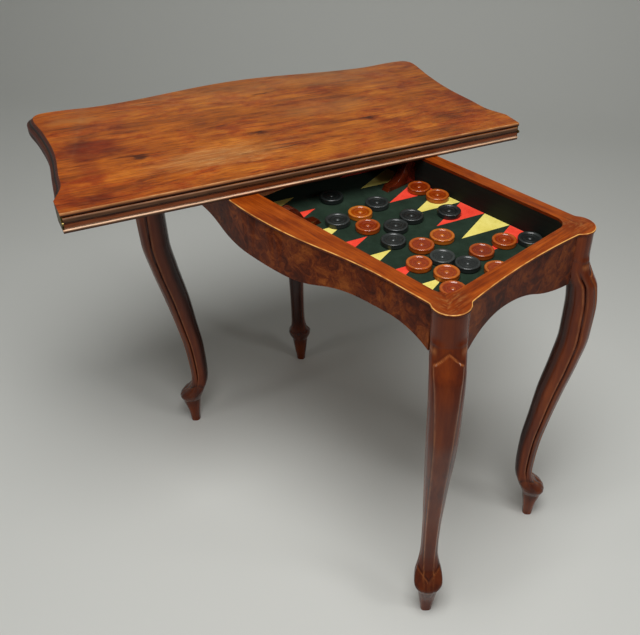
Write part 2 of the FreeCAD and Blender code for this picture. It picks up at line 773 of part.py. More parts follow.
def tray_pieces():
    red, yellow = points()
    long = value("tray_half_length")
    wide = value("tray_half_width")
    cloth = Part.makeBox(long * 2, wide * 2, value("baize_thickness"), at(-long, -wide, board_top.value))
    baize = cloth.cut(red + yellow)
    return [
        solid_piece("red_points", Part.Compound(red)),
        solid_piece("yellow_points", Part.Compound(yellow)),
        solid_piece("baize_floor", baize),
    ]


def linings():
    """Four strips against the rails, with a cove block in each corner."""
    long = cell("tray_half_length")
    wide = cell("tray_half_width")
    made = []
    for name, side in (("front", -1), ("back", 1)):
        near, far = wide * side, wall_wide * side
        span = (near, far) if side > 0 else (far, near)
        strip = box(f"{name}_lining_strip", (-wall_long, wall_long), span, (board_top, cap_low))
        made.append(label(cut(f"{name}_lining_cut", strip, bridge_mortise(f"{name}_lining_mortise", side)), f"{name}_lining"))
    for name, side in (("left", -1), ("right", 1)):
        near, far = long * side, wall_long * side
        span = (near, far) if side > 0 else (far, near)
        made.append(label(box(f"{name}_lining_strip", span, (-wide, wide), (board_top, cap_low)), f"{name}_lining"))
    radius = value("tray_corner_radius")
    block = Part.makeBox(radius, radius, cap_low.value - tray_base.value, at(long.value - radius, wide.value - radius, tray_base.value))
    round_room = Part.makeCylinder(radius, value("tray_depth"), at(long.value - radius, wide.value - radius, tray_base.value))
    cove = block.cut(round_room)
    coves = [cove, cove.mirror(ORIGIN, at(1, 0, 0)), cove.mirror(ORIGIN, at(0, 1, 0)), cove.copy()]
    coves[3].rotate(ORIGIN, UP, 180)
    made.append(solid_piece("corner_coves", Part.Compound(coves)))
    return made


# The two brackets of the bar, from the wall's height down to a low nose: how far
# they reach from the wall, and their height, as shares.
bracket_shares = (
    (0.00, 1.00), (0.20, 0.97), (0.36, 0.74), (0.54, 0.36), (0.76, 0.19), (0.92, 0.16), (1.00, 0.00),
)


def bar_brackets():
    half = value("bar_half_width")
    reach = value("bar_reach_length")
    top = value("frame_height") - value("bracket_top_gap")
    tall = top - tray_base.value
    wall = value("tray_half_width")
    curve = [at(-half, wall - reach * away, tray_base.value + tall * up) for away, up in bracket_shares]
    sweep = Part.BSplineCurve()
    sweep.interpolate(Points=curve, InitialTangent=at(0, -1, 0), FinalTangent=at(0, -1, -1))
    foot = at(-half, wall, tray_base.value)
    outline = Part.Wire([sweep.toShape(), Part.makeLine(curve[-1], foot), Part.makeLine(foot, curve[0])])
    back = Part.Face(outline).extrude(at(half * 2, 0, 0))
    return [
        solid_piece("back_bar_bracket", back),
        solid_piece("front_bar_bracket", back.mirror(ORIGIN, at(0, 1, 0))),
    ]


def glue_blocks():
    """Blocks rubbed into the corners under the board, beside each leg."""
    long = value("block_length")
    thick = value("block_thickness")
    tall = value("block_height")
    low = board_low.value - tall
    end = Part.makeBox(thick, long, tall, at(rebate_long.value - thick, rail_end_wide.value - long, low))
    back = Part.makeBox(long, thick, tall, at(rail_end_long.value - long, rebate_wide.value - thick, low))
    made = []
    for block in (end, back):
        for x in (1, -1):
            for y in (1, -1):
                copy = block
                if x < 0:
                    copy = copy.mirror(ORIGIN, at(1, 0, 0))
                if y < 0:
                    copy = copy.mirror(ORIGIN, at(0, 1, 0))
                made.append(copy)
    return solid_piece("glue_blocks", Part.Compound(made))


# The pivot: a bridge across the tray, and a plate with a stud under the lower leaf.

pivot_x = -cell("pivot_left_distance")
pivot_y = cell("pivot_back_distance")
bridge_top = cell("frame_height") - cell("bridge_top_gap")
bridge_low = bridge_top - cell("bridge_height")
leaf_low = cell("frame_height") + cell("leaf_clearance")
joint_height = leaf_low + cell("leaf_thickness") + cell("leaf_gap") / 2


def pivot_bridge():
    wide = cell("tray_half_width")
    x = (pivot_x - cell("bridge_half_width"), pivot_x + cell("bridge_half_width"))
    low = bridge_low + cell("bridge_tenon_gap")
    reach = wide + cell("bridge_tenon_length")
    rail = box("bridge_rail", x, (-wide, wide), (bridge_low, bridge_top))
    tenon = box("bridge_tenon", x, (-reach, reach), (low, low + cell("bridge_tenon_height")))
    hole = cylinder("bridge_hole", cell("pivot_radius") + cell("pivot_clearance"), bridge_low - cell("overrun"),
                    bridge_top + cell("overrun"), pivot_x, pivot_y)
    return label(cut("bridge_bored", fused("bridge_whole", [rail, tenon]), hole), "pivot_bridge")


def ring(name, radius, low, high):
    """A washer round the pivot."""
    outside = cylinder(f"{name}_disc", radius, low, high, pivot_x, pivot_y)
    hole = cylinder(f"{name}_hole", cell("pivot_radius") + cell("pivot_clearance"), low - cell("overrun"),
                    high + cell("overrun"), pivot_x, pivot_y)
    return label(cut(f"{name}_cut", outside, hole), name)


def pivot_nut(low, high):
    """A hexagonal nut on the stud's end."""
    body = new_body("nut_body")
    half = cell("nut_width") / 2
    point = half * 2 / as_size(3).root()
    corners = [
        (point, 0), (point / 2, half), (-point / 2, half), (-point, 0), (-point / 2, -half), (point / 2, -half),
    ]
    outline = sketch(body, "nut_plan", "XY_Plane", corners, None, low)
    pad(body, "nut_block", outline, high - low)
    body.setExpression("Placement.Base.x", pivot_x.words)
    body.setExpression("Placement.Base.y", pivot_y.words)
    hole = cylinder("nut_hole", cell("pivot_radius") + cell("pivot_clearance"), low - cell("overrun"),
                    high + cell("overrun"), pivot_x, pivot_y)
    return label(cut("nut_bored", body, hole), "pivot_nut")


def pivot_fittings():
    under = bridge_low - cell("nut_clearance")
    washer_low = under - cell("washer_thickness")
    nut_low = washer_low - cell("nut_height")
    stud = cylinder("stud_shank", cell("pivot_radius"), leaf_low - cell("stud_length"), leaf_low, pivot_x, pivot_y)
    plate = cylinder("stud_plate", cell("plate_radius"), leaf_low, leaf_low + cell("plate_thickness"), pivot_x, pivot_y)
    whole = fused("stud_whole", [stud, plate])
    doc.recompute()
    rooms = [turned_with_top(room) for room in plate_screw_shapes(screw_room)]
    return [
        drilled("pivot_plate", whole, rooms),
        ring("top_washer", cell("washer_radius"), bridge_top, leaf_low),
        ring("nut_washer", cell("washer_radius"), washer_low, under),
        pivot_nut(nut_low, washer_low),
    ]


def plate_screw_shapes(maker):
    """The pivot plate's screws, or their rooms, round the stud."""
    circle = value("plate_screw_circle_radius")
    made = []
    for number in range(4):
        shape = maker(value("plate_screw_length"))
        shape.translate(at(circle, 0, leaf_low.value))
        shape.rotate(ORIGIN, UP, 45 + 90 * number)
        shape.translate(at(pivot_x.value, pivot_y.value, 0))
        made.append(shape)
    return made


# The folding top. Its pieces are drawn closed over the tray and then turned with it.
# In a leaf's own axes x runs along the hinged edge and y from it towards the front.

pivot = at(pivot_x.value, pivot_y.value, 0)
closed_place = FreeCAD.Placement(at(0, value("hinge_edge_distance"), 0), FreeCAD.Rotation(UP, 180))
turned_place = FreeCAD.Placement(ORIGIN, FreeCAD.Rotation(UP, -value("turn_angle")), pivot)


def turned_with_top(shape):
    """A shape drawn with the top closed, turned about the pivot to where the top stands."""
    copy = shape.copy()
    copy.rotate(pivot, UP, -value("turn_angle"))
    return copy


def leaf_place():
    return turned_place.multiply(closed_place)


# The side of a leaf between its straight end and its ear: distance from the hinged
# edge and half length, as shares of the ear's distance and of the leaf's half length.
leaf_side_shares = (
    (0.154, 0.9928), (0.2235, 0.983), (0.298, 0.975), (0.4215, 0.9595), (0.571, 0.9477), (0.686, 0.9501),
    (0.793, 0.9573),
)
# The edge moulding from the leaf's outer face to its joint: depth as a share of the
# leaf's thickness, and how far it stands in on the shaped sides and on the hinged edge.
moulding_shares = (
    (0.00, 1.00, 0.43), (0.07, 1.00, 0.38), (0.10, 0.93, 0.34), (0.17, 0.74, 0.24), (0.26, 0.62, 0.12),
    (0.31, 0.59, 0.08), (0.37, 0.50, 0.45), (0.43, 0.28, 0.85), (0.47, 0.20, 1.00), (0.50, 0.13, 0.35),
    (0.56, 0.06, 0.12), (0.66, 0.00, 0.02), (0.90, 0.00, 0.00), (1.00, 0.07, 0.10),
)


def leaf_edge():
    """Points along the shaped edge of a leaf, from one straight end round to the other."""
    half = value("leaf_half_length")
    ear = value("leaf_ear_half_length")
    deep = value("leaf_ear_depth")
    radius = value("leaf_ear_radius")
    centre = at(ear - radius, deep - radius, 0)
    right = [(half, value("leaf_end_length"))]
    right += [(half * out, deep * away) for away, out in leaf_side_shares]
    for number in range(5):
        angle = math.radians(22.5 * number)
        right.append((centre.x + radius * math.cos(angle), centre.y + radius * math.sin(angle)))
    waist = value("leaf_waist_depth")
    swell = value("leaf_depth") - waist
    for number in range(10, 0, -1):
        share = number / 10
        right.append((value("leaf_bulge_half_length") * share, waist + swell * (1 + math.cos(math.pi * share)) / 2))
    left = [(-x, y) for x, y in reversed(right)]
    return right + [(0.0, value("leaf_depth"))] + left


def inset_edge(points, inset):
    """The shaped edge moved inwards, fading in from the straight ends."""
    moved = []
    for number, (x, y) in enumerate(points):
        before = points[max(number - 1, 0)]
        after = points[min(number + 1, len(points) - 1)]
        run = at(after[0] - before[0], after[1] - before[1], 0).normalize()
        fade = min(1.0, (y - value("leaf_end_length")) / value("moulding_fade_length"))
        moved.append(at(x - run.y * inset * fade, y + run.x * inset * fade, 0))
    return moved


def leaf_wire(height, side_inset, hinge_inset, margin=None):
    """One level outline of a leaf: the hinged edge, two straight ends and the shaped edge."""
    half = value("leaf_half_length")
    clear = value("leaf_gap") / 2
    curve_points = inset_edge(leaf_edge(), side_inset)
    curve_points = [at(point.x, point.y, height) for point in curve_points]
    curve = Part.BSplineCurve()
    curve.interpolate(curve_points)
    start = at(half, clear + hinge_inset, height)
    end = at(-half, clear + hinge_inset, height)
    return [
        Part.makeLine(end, start),
        Part.makeLine(start, curve_points[0]),
        curve.toShape(),
        Part.makeLine(curve_points[-1], end),
    ]


def leaf_shape():
    """The lower leaf, its moulded outer face down at zero and its joint face up."""
    thick = value("leaf_thickness")
    levels = []
    for depth, side, hinge in moulding_shares:
        levels.append(leaf_wire(thick * depth, value("moulding_width") * side, value("hinge_moulding_width") * hinge))
    faces = [Part.Face(Part.Wire(levels[0])), Part.Face(Part.Wire(levels[-1]))]
    for lower, upper in zip(levels, levels[1:]):
        faces += [Part.makeRuledSurface(a, b) for a, b in zip(lower, upper)]
    shell = Part.makeShell(faces)
    shell.sewShape()
    solid = Part.Solid(shell)
    if solid.Volume < 0:
        solid.reverse()
    return solid


def hinge_room(deep):
    """What the hinges take out of both ends of a leaf, with the joint face at the leaf's thickness."""
    gap = value("hinge_clearance")
    thick = value("hinge_thickness")
    tall = value("hinge_height")
    eye_height = value("leaf_thickness") + value("leaf_gap") / 2
    block = Part.makeBox(thick, value("hinge_length") + gap + value("overrun"), tall + gap + value("overrun"),
                         at(value("leaf_half_length") - thick, -value("overrun"), value("leaf_thickness") - tall - gap))
    eye = Part.makeCylinder(value("hinge_eye_radius") + gap, deep, at(value("leaf_half_length") - deep, 0, eye_height), at(1, 0, 0))
    right = block.fuse(eye)
    return [right, right.mirror(ORIGIN, at(1, 0, 0))]


def hinge_plate(outer):
    """One leaf's hinge plate at the right end: a flat strip with a half-thick eye at the pin."""
    thick = value("hinge_thickness")
    gap = value("hinge_clearance")
    tall = value("hinge_height") - gap
    joint = value("leaf_thickness")
    end = value("leaf_half_length")
    start = value("hinge_eye_radius") + gap * 2
    strip = Part.makeBox(thick, value("hinge_length") - start, tall - gap, at(end - thick, start, joint - tall))
    corner = [edge for edge in strip.Edges if edge.Curve.Direction.x ** 2 > 0.5 and edge.CenterOfMass.y > start + tall]
    strip = strip.makeFillet(tall / 3, corner)
    half = thick / 2 - gap / 2
    eye_start = end - half if outer else end - thick
    eye_height = joint + value("leaf_gap") / 2
    eye = Part.makeCylinder(value("hinge_eye_radius"), half, at(eye_start, 0, eye_height), at(1, 0, 0))
    neck = Part.makeBox(half, start, value("hinge_eye_radius"), at(eye_start, 0, eye_height - value("hinge_eye_radius")))
    plate = strip.fuse([eye, neck])
    pin = Part.makeCylinder(value("hinge_pin_radius") + value("pivot_clearance"), thick + value("overrun") * 2,
                            at(end - thick - value("overrun"), 0, eye_height), at(1, 0, 0))
    return plate.cut(pin).removeSplitter()


def hinge_screw_shapes(maker):
    """The screws that hold a plate to the right end of a leaf, or their rooms."""
    made = []
    for number in range(3):
        shape = maker(value("screw_length"))
        shape.rotate(ORIGIN, at(0, 1, 0), -90)
        along = value("hinge_screw_start_distance") + value("hinge_screw_pitch") * number
        shape.translate(at(value("leaf_half_length"), along, value("leaf_thickness") - value("hinge_height") / 2))
        made.append(shape)
    return made


def both_ends(shapes):
    return shapes + [shape.mirror(ORIGIN, at(1, 0, 0)) for shape in shapes]


def panel_outline(clearance):
    """The edge of the cloth let into a leaf's joint face, a border in from the leaf's own edge."""
    border = value("border_width") + clearance
    half = value("leaf_half_length") - border
    deep = value("leaf_waist_depth") - border
    corner = value("tray_corner_radius")
    plane = [at(-half, border, 0), at(half, border, 0), at(half - corner, deep, 0), at(-half + corner, deep, 0)]
    return Part.Face(Part.makePolygon(plane + plane[:1]))


def folded_over(shape):
    """The same shape on the upper leaf, mirrored in the joint between the leaves."""
    middle = at(0, 0, value("leaf_thickness") + value("leaf_gap") / 2)
    return shape.mirror(middle, UP)


def top_pieces():
    """Both leaves with their hinges, cloth, pins and screws, in the lower leaf's own axes."""
    thick = value("leaf_thickness")
    screws = both_ends(hinge_screw_shapes(screw))
    screw_rooms = both_ends(hinge_screw_shapes(screw_room))
    plain = leaf_shape().cut(hinge_room(value("hinge_thickness")) + screw_rooms)
    cloth_room = panel_outline(0).extrude(UP * (value("panel_thickness") + value("overrun")))
    cloth_room.translate(at(0, 0, thick - value("panel_thickness")))
    plain = plain.cut(cloth_room)
    cloth = panel_outline(value("panel_clearance")).extrude(UP * value("panel_thickness"))
    cloth.translate(at(0, 0, thick - value("panel_thickness")))
    lower = plain.cut([in_leaf_axes(room) for room in lower_leaf_rooms()])
    pieces = [("lower_leaf", lower), ("lower_cloth", cloth)]
    for name, outer in (("lower", False), ("upper", True)):
        plate = hinge_plate(outer).cut(hinge_screw_shapes(screw_room))
        plates = both_ends([plate])
        fasteners = Part.Compound(screws)
        if name == "upper":
            plates = [folded_over(shape) for shape in plates]
            fasteners = folded_over(fasteners)
        pieces += [(f"{name}_hinge_plates", Part.Compound(plates)), (f"{name}_hinge_screws", fasteners)]
    pieces += [("upper_leaf", folded_over(plain)), ("upper_cloth", folded_over(cloth))]
    pin = Part.makeCylinder(value("hinge_pin_radius"), value("hinge_thickness"),
                            at(value("leaf_half_length") - value("hinge_thickness"), 0, thick + value("leaf_gap") / 2), at(1, 0, 0))
    pieces.append(("hinge_pins", Part.Compound(both_ends([pin]))))
    place = leaf_place()
    place.Base.z = leaf_low.value
    made = []
    for name, shape in pieces:
        made.append(solid_piece(name, shape, place))
    return made


def peg_place():
    """The stop peg with the top closed: it meets the bridge's left side when the top is shut."""
    touch = math.acos((value("bridge_half_width") + value("peg_radius")) / value("peg_circle_radius"))
    angle = math.pi + touch - math.radians(value("peg_slack_angle"))
    return pivot + at(math.cos(angle), math.sin(angle), 0) * value("peg_circle_radius")


def stop_peg():
    place = peg_place()
    long = value("peg_length") + value("peg_socket_depth")
    peg = Part.makeCylinder(value("peg_radius"), long, at(place.x, place.y, leaf_low.value - value("peg_length")))
    return solid_piece("stop_peg", turned_with_top(peg))


def lower_leaf_rooms():
    """Rooms in the underside of the closed lower leaf, for the pivot plate, its screws and the peg."""
    gap = value("pivot_clearance")
    plate = Part.makeCylinder(value("plate_radius") + gap, value("plate_thickness") + value("overrun"),
                              at(pivot.x, pivot.y, leaf_low.value - value("overrun")))
    place = peg_place()
    peg = Part.makeCylinder(value("peg_radius") + gap, value("peg_socket_depth") + gap + value("overrun"),
                            at(place.x, place.y, leaf_low.value - value("overrun")))
    return [plate, peg] + plate_screw_shapes(screw_room)


def in_leaf_axes(shape):
    """A shape drawn over the frame with the top closed, taken back into the leaf's own axes."""
    copy = shape.copy()
    copy.translate(at(0, -value("hinge_edge_distance"), -leaf_low.value))
    copy.rotate(ORIGIN, UP, 180)
    return copy


# The draughtsmen, turned discs with a raised rim, a ring and a boss. Their places in
# the tray are from its middle: along in points' widths, and across in half widths of the tray.
light_men_shares = (
    (0.716, 0.845), (1.49, 0.857), (3.268, 0.19), (4.698, 0.621), (4.611, 0.265),
    (5.513, 0.111), (0.631, -0.107), (1.366, -0.255), (3.201, -0.116), (3.815, -0.405),
    (4.663, -0.328), (5.314, -0.51), (-2.85, 0.8), (-5.4, 0.2), (-3.2, 0.395),
)
dark_men_shares = (
    (-0.725, -0.085), (0.532, 0.198), (0.499, -0.408), (1.922, -0.021), (1.832, 0.269),
    (2.456, -0.266), (2.423, 0.67), (4.04, -0.132), (4.771, -0.039), (5.175, 0.856),
    (-5.3, -0.25), (-3.02, -0.395), (-3.91, 0.067), (-4.62, 0.591), (-4.44, -0.591),
)


# The widest that a man and the room round it can be, as a share of the tray's half width.
man_width_share = 0.185


def man_body():
    """One draughtsman, turned about its own axis."""
    body = new_body("man_turning")
    pitch = (cell("tray_half_length") - cell("bar_half_width")) / 6
    radius = smaller(pitch / 2, cell("tray_half_width") * man_width_share) - cell("man_clearance")
    thick = cell("man_thickness")
    low_face = thick - cell("man_dish_depth")
    soft = cell("man_edge_radius")
    ring_out = radius - cell("man_rim_width") - cell("man_ring_distance")
    corners = [
        (0, 0), (radius - soft, 0), (radius, soft), (radius, thick - soft), (radius - soft, thick),
        (radius - cell("man_rim_width"), thick), (radius - cell("man_rim_width") - soft, low_face), (ring_out, low_face),
        (ring_out - soft / 2, thick - soft), (ring_out - soft * 3 / 2, thick - soft), (ring_out - soft * 2, low_face),
        (cell("man_boss_radius") + soft, low_face), (cell("man_boss_radius"), thick - soft / 2), (0, thick - soft / 2),
    ]
    bends = {1: (soft, 1), 3: (soft, 1)}
    drawing = sketch(body, "man_profile", "XZ_Plane", corners, bends)
    turning = body.newObject("PartDesign::Revolution", "man_turned")
    turning.Profile = drawing
    turning.ReferenceAxis = (drawing, ["V_Axis"])
    turning.Angle = 360
    doc.recompute()
    return body


def men():
    man = man_body().Shape
    pitch = (value("tray_half_length") - value("bar_half_width")) / 6
    height = tray_base.value + value("man_seat_gap")
    made = []
    for name, shares in (("light_men", light_men_shares), ("dark_men", dark_men_shares)):
        group = []
        for along, across in shares:
            copy = man.copy()
            copy.translate(at(pitch * along, value("tray_half_width") * across, height))
            group.append(copy)
        made.append(solid_piece(name, Part.Compound(group)))
    return made


# Building and checking

pieces = [front_rail(), back_rail(), end_rail("left_rail", -1), end_rail("right_rail", 1)]
pieces += legs() + caps() + linings() + bar_brackets() + [glue_blocks()]
pieces += tray_pieces()
floor = tray_floor()
doc.recompute()
screw_rooms = []
floor_screws = []
for x, y in floor_screw_places():
    for maker, group in ((screw_room, screw_rooms), (screw, floor_screws)):
        shape = maker(value("screw_length"))
        shape.translate(at(x, y, board_low.value))
        group.append(shape)
pieces.append(drilled("tray_floor", floor, screw_rooms))
pieces.append(solid_piece("floor_screws", Part.Compound(floor_screws)))
pieces.append(pivot_bridge())
pieces += pivot_fittings()
pieces.append(solid_piece("pivot_screws", Part.Compound([turned_with_top(shape) for shape in plate_screw_shapes(screw)])))
pieces.append(stop_peg())
pieces += top_pieces() + men()
doc.recompute()

# the long rails take the points of the floor's screws
for number, piece in enumerate(pieces):
    if piece.Label in ("front_rail", "back_rail"):
        name = piece.Label
        piece.Label = f"{name}_undrilled"
        pieces[number] = label(drilled(f"{name}_drilled", piece, screw_rooms), name)
doc.recompute()

faults = [item.Name for item in doc.Objects if "Invalid" in item.State or "Error" in item.State]
for piece in pieces:
    shape = piece.Shape
    if shape.isNull() or not shape.isValid() or not shape.Solids or shape.Volume <= 0:
        faults.append(piece.Label)
if faults:
    raise RuntimeError("these pieces failed: " + ", ".join(faults))
for piece in pieces:
    piece.Shape.exportStep(f"parts/{piece.Label}.step")
    bounds = piece.Shape.BoundBox
    print(f"{piece.Label}: {len(piece.Shape.Solids)} solids, {piece.Shape.Volume / 1000:.1f} cm3, "
          f"x {bounds.XMin:.1f} to {bounds.XMax:.1f}, y {bounds.YMin:.1f} to {bounds.YMax:.1f}, "
          f"z {bounds.ZMin:.1f} to {bounds.ZMax:.1f}")
print(f"{len(pieces)} pieces written")
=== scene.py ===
# %% [markdown]
# # A walnut games table, its top turned a quarter round
#
# The table is a shallow tray on four cabriole legs. A folding top lies over the tray and
# turns on an upright pivot, so that the backgammon board underneath comes into view with
# its men. The solids already have every joint and size, so this scene only dresses them:
# most pieces are copies of the solids with their arrises eased, and the carved legs, the
# turned men and the slotted screws are made here in more detail.

import json
import math

import bmesh
import bpy
from mathutils import Matrix, Vector


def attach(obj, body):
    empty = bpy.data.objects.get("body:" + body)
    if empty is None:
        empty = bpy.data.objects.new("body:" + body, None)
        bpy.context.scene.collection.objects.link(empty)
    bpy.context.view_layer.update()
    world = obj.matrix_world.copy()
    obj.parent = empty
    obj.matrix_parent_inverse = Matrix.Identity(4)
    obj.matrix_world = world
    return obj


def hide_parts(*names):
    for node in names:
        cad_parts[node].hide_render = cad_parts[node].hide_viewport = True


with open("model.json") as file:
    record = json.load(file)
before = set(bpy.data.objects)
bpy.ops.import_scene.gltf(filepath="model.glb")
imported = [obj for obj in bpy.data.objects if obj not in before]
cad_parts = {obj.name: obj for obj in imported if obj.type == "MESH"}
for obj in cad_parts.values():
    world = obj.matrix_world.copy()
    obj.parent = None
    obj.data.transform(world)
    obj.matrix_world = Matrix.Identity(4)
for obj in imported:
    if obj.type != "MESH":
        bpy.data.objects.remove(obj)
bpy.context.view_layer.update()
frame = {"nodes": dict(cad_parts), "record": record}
nodes = frame["nodes"]
slot_of = {row["node"]: row["material_slot"] for row in frame["record"]["subparts"]}
body_of = {node: body for body, names in frame["record"]["behaviour"]["bodies"].items() for node in names}

# %% [markdown]
# ## The camera
#
# The picture is a crop from a wider one, so its vanishing lines don't meet in its middle.
# A small shift of the lens puts them back where they were, and a slight roll is kept too,
# because the photographer's camera wasn't quite level.

# %% The camera
picture_wide, picture_high = 640, 635
lens_pixels = 808.83
middle_x, middle_y = 429.10, 326.11
eye = Vector((0.9194, -0.8787, 1.3413))
look = Vector((-0.5099, 0.6166, -0.5999)).normalized()
roll = math.radians(3.823)

level_right = look.cross(Vector((0, 0, 1))).normalized()
level_up = level_right.cross(look)
right = level_right * math.cos(roll) + level_up * math.sin(roll)
up = level_up * math.cos(roll) - level_right * math.sin(roll)

camera_data = bpy.data.cameras.new("camera")
camera_data.sensor_fit = "HORIZONTAL"
camera_data.sensor_width = 36
camera_data.lens = lens_pixels / picture_wide * 36
camera_data.shift_x = (picture_wide / 2 - middle_x) / picture_wide
camera_data.shift_y = (middle_y - picture_high / 2) / picture_wide
camera_data.clip_end = 50
camera = bpy.data.objects.new("camera", camera_data)
camera.matrix_world = Matrix((right, up, -look)).transposed().to_4x4()
camera.matrix_world.translation = eye
bpy.context.scene.collection.objects.link(camera)
bpy.context.scene.camera = camera
print("lens", round(camera_data.lens, 2), "mm, shift", round(camera_data.shift_x, 3), round(camera_data.shift_y, 3))

# %% [markdown]
# ## Two small tools for materials
#
# Colours are written as they look on a screen, and one function turns them to the linear
# values that the shaders use. Another adds a node: it sets the node's own settings, then
# gives each named socket a value or a link. With only these two, every material below is
# a list of what the eye sees, from the ground colour up.

# %% Colours and nodes
def linear(colour):
    """A colour as it looks on a screen, such as #8A4B1F, in linear light."""
    parts = [int(colour[start:start + 2], 16) / 255 for start in (1, 3, 5)]
    return [part / 12.92 if part <= 0.04045 else ((part + 0.055) / 1.055) ** 2.4 for part in parts] + [1.0]


def add(tree, kind, settings=None, sockets=None):
    """A new node with its settings, and its sockets set, or linked to a node or to one of its outputs."""
    fresh = tree.nodes.new(kind)
    for name, value in (settings or {}).items():
        if name == "stops":
            ramp = fresh.color_ramp
            while len(ramp.elements) < len(value):
                ramp.elements.new(1.0)
            for element, (place, colour) in zip(ramp.elements, value):
                element.position = place
                element.color = linear(colour)
        else:
            setattr(fresh, name, value)
    open_sockets = [socket for socket in fresh.inputs if socket.enabled]
    for name, value in (sockets or {}).items():
        if isinstance(name, int):
            socket = open_sockets[name]
        else:
            socket = next(each for each in open_sockets if each.name == name)
        if isinstance(value, str) and value.startswith("#"):
            value = linear(value)
        if isinstance(value, bpy.types.Node):
            value = next(each for each in value.outputs if each.enabled)
        if isinstance(value, bpy.types.NodeSocket):
            tree.links.new(value, socket)
        else:
            socket.default_value = value
    return fresh


def blank_material(name):
    """A material with a Principled shader, and its tree and shader for the pattern to come."""
    made = bpy.data.materials.new(name)
    made.use_nodes = True
    shader = made.node_tree.nodes["Principled BSDF"]
    return made, made.node_tree, shader


# %% [markdown]
# ## Wood
#
# Polished walnut shows four things: soft blotches where the tree grew unevenly, broad
# bands of growth, fine lines along the grain, and short dark pores. Each is a noise that
# is stretched along the board, so one function can make every board of the table. A
# Mapping node divides by real sizes in millimetres, which keeps the scale of the grain
# the same on every piece. Burr wood has no direction, so it gets its own pattern.

# %% Marks that run along a board
def streaks(tree, axes, long_mm, wide_mm, detail=3.0, roughness=0.55):
    """Noise whose marks are long_mm along x and wide_mm across."""
    sized = add(tree, "ShaderNodeMapping", {"vector_type": "TEXTURE"}, {
        "Vector": axes, "Scale": [long_mm / 1000, wide_mm / 1000, wide_mm / 1000],
    })
    return add(tree, "ShaderNodeTexNoise", None, {"Vector": sized, "Scale": 1.0, "Detail": detail, "Roughness": roughness})


def board_axes(tree, turn_degrees=(0, 0, 0), centre_mm=(0, 0, 0)):
    """Object coordinates turned so that x runs along the grain, from a chosen centre."""
    where = add(tree, "ShaderNodeTexCoord")
    return add(tree, "ShaderNodeMapping", {"vector_type": "TEXTURE"}, {
        "Vector": where.outputs["Object"],
        "Location": [part / 1000 for part in centre_mm],
        "Rotation": [math.radians(turn) for turn in turn_degrees],
    })


def swayed(tree, axes, sway_mm, long_mm=260, wide_mm=90):
    """The same axes, moved a little from side to side, so that no line of the grain is quite straight."""
    sway = streaks(tree, axes, long_mm, wide_mm, 2.0, 0.5)
    centred = add(tree, "ShaderNodeVectorMath", {"operation": "SUBTRACT"}, {0: sway.outputs["Color"], 1: [0.5, 0.5, 0.5]})
    return add(tree, "ShaderNodeVectorMath", {"operation": "MULTIPLY_ADD"}, {
        0: centred, 1: [0.0, sway_mm / 1000, sway_mm / 1000], 2: axes,
    })


def walnut(tree, axes, stops, blotch=(220, 70), band=(500, 12), line=(200, 2.2), pore=(14, 0.9),
           fine_share=0.24, line_dark=0.45, pore_dark=0.5):
    """Colour of polished walnut on axes with x along the grain, and the two fine patterns for its relief."""
    blotches = streaks(tree, axes, *blotch, 4.0, 0.6)
    bands = streaks(tree, axes, *band, 3.0, 0.55)
    lines = streaks(tree, axes, *line, 3.0, 0.6)
    pores = streaks(tree, axes, *pore, 1.0, 0.5)
    broad = add(tree, "ShaderNodeMix", {"data_type": "FLOAT"}, {"Factor": 0.42, "A": blotches, "B": bands})
    growth = add(tree, "ShaderNodeMix", {"data_type": "FLOAT"}, {"Factor": fine_share, "A": broad, "B": lines})
    ground = add(tree, "ShaderNodeValToRGB", {"stops": stops}, {"Fac": growth})
    lined = add(tree, "ShaderNodeMapRange", None, {
        "Value": lines, "From Min": 0.50, "From Max": 0.36, "To Min": 0.0, "To Max": line_dark,
    })
    fine = add(tree, "ShaderNodeMix", {"data_type": "RGBA", "blend_type": "MULTIPLY"}, {
        "Factor": lined, "A": ground, "B": "#8A6450",
    })
    open_pores = add(tree, "ShaderNodeMapRange", None, {
        "Value": pores, "From Min": 0.60, "From Max": 0.74, "To Min": 0.0, "To Max": pore_dark,
    })
    colour = add(tree, "ShaderNodeMix", {"data_type": "RGBA", "blend_type": "MULTIPLY"}, {
        "Factor": open_pores, "A": fine, "B": "#6E4A38",
    })
    return colour, lines, pores


# %% Relief and polish
def polished(tree, shader, colour, lines, pores, rough, rough_spread=0.10, depth_mm=0.05):
    """Links a colour to the shader, with a polish that is duller in patches and pores that are slightly sunk."""
    tree.links.new(next(each for each in colour.outputs if each.enabled), shader.inputs["Base Color"])
    duller = add(tree, "ShaderNodeMapRange", None, {
        "Value": lines, "From Min": 0.3, "From Max": 0.7, "To Min": rough - rough_spread / 2, "To Max": rough + rough_spread / 2,
    })
    tree.links.new(duller.outputs["Result"], shader.inputs["Roughness"])
    both = add(tree, "ShaderNodeMath", {"operation": "SUBTRACT"}, {0: lines, 1: pores})
    relief = add(tree, "ShaderNodeBump", None, {"Strength": 0.5, "Distance": depth_mm / 1000, "Height": both})
    tree.links.new(relief.outputs["Normal"], shader.inputs["Normal"])


# %% [markdown]
# ## Knots, stains and wear
#
# What makes an old board look real is that nothing on it is even. Around a knot the
# lines of the grain part and close again, so the coordinates are squeezed there before
# the grain is drawn. Stains and faded places are soft ellipses in the board's own
# coordinates, broken up by noise. Wear is put where hands rub: on arrises, which are
# found by the way the surface faces.

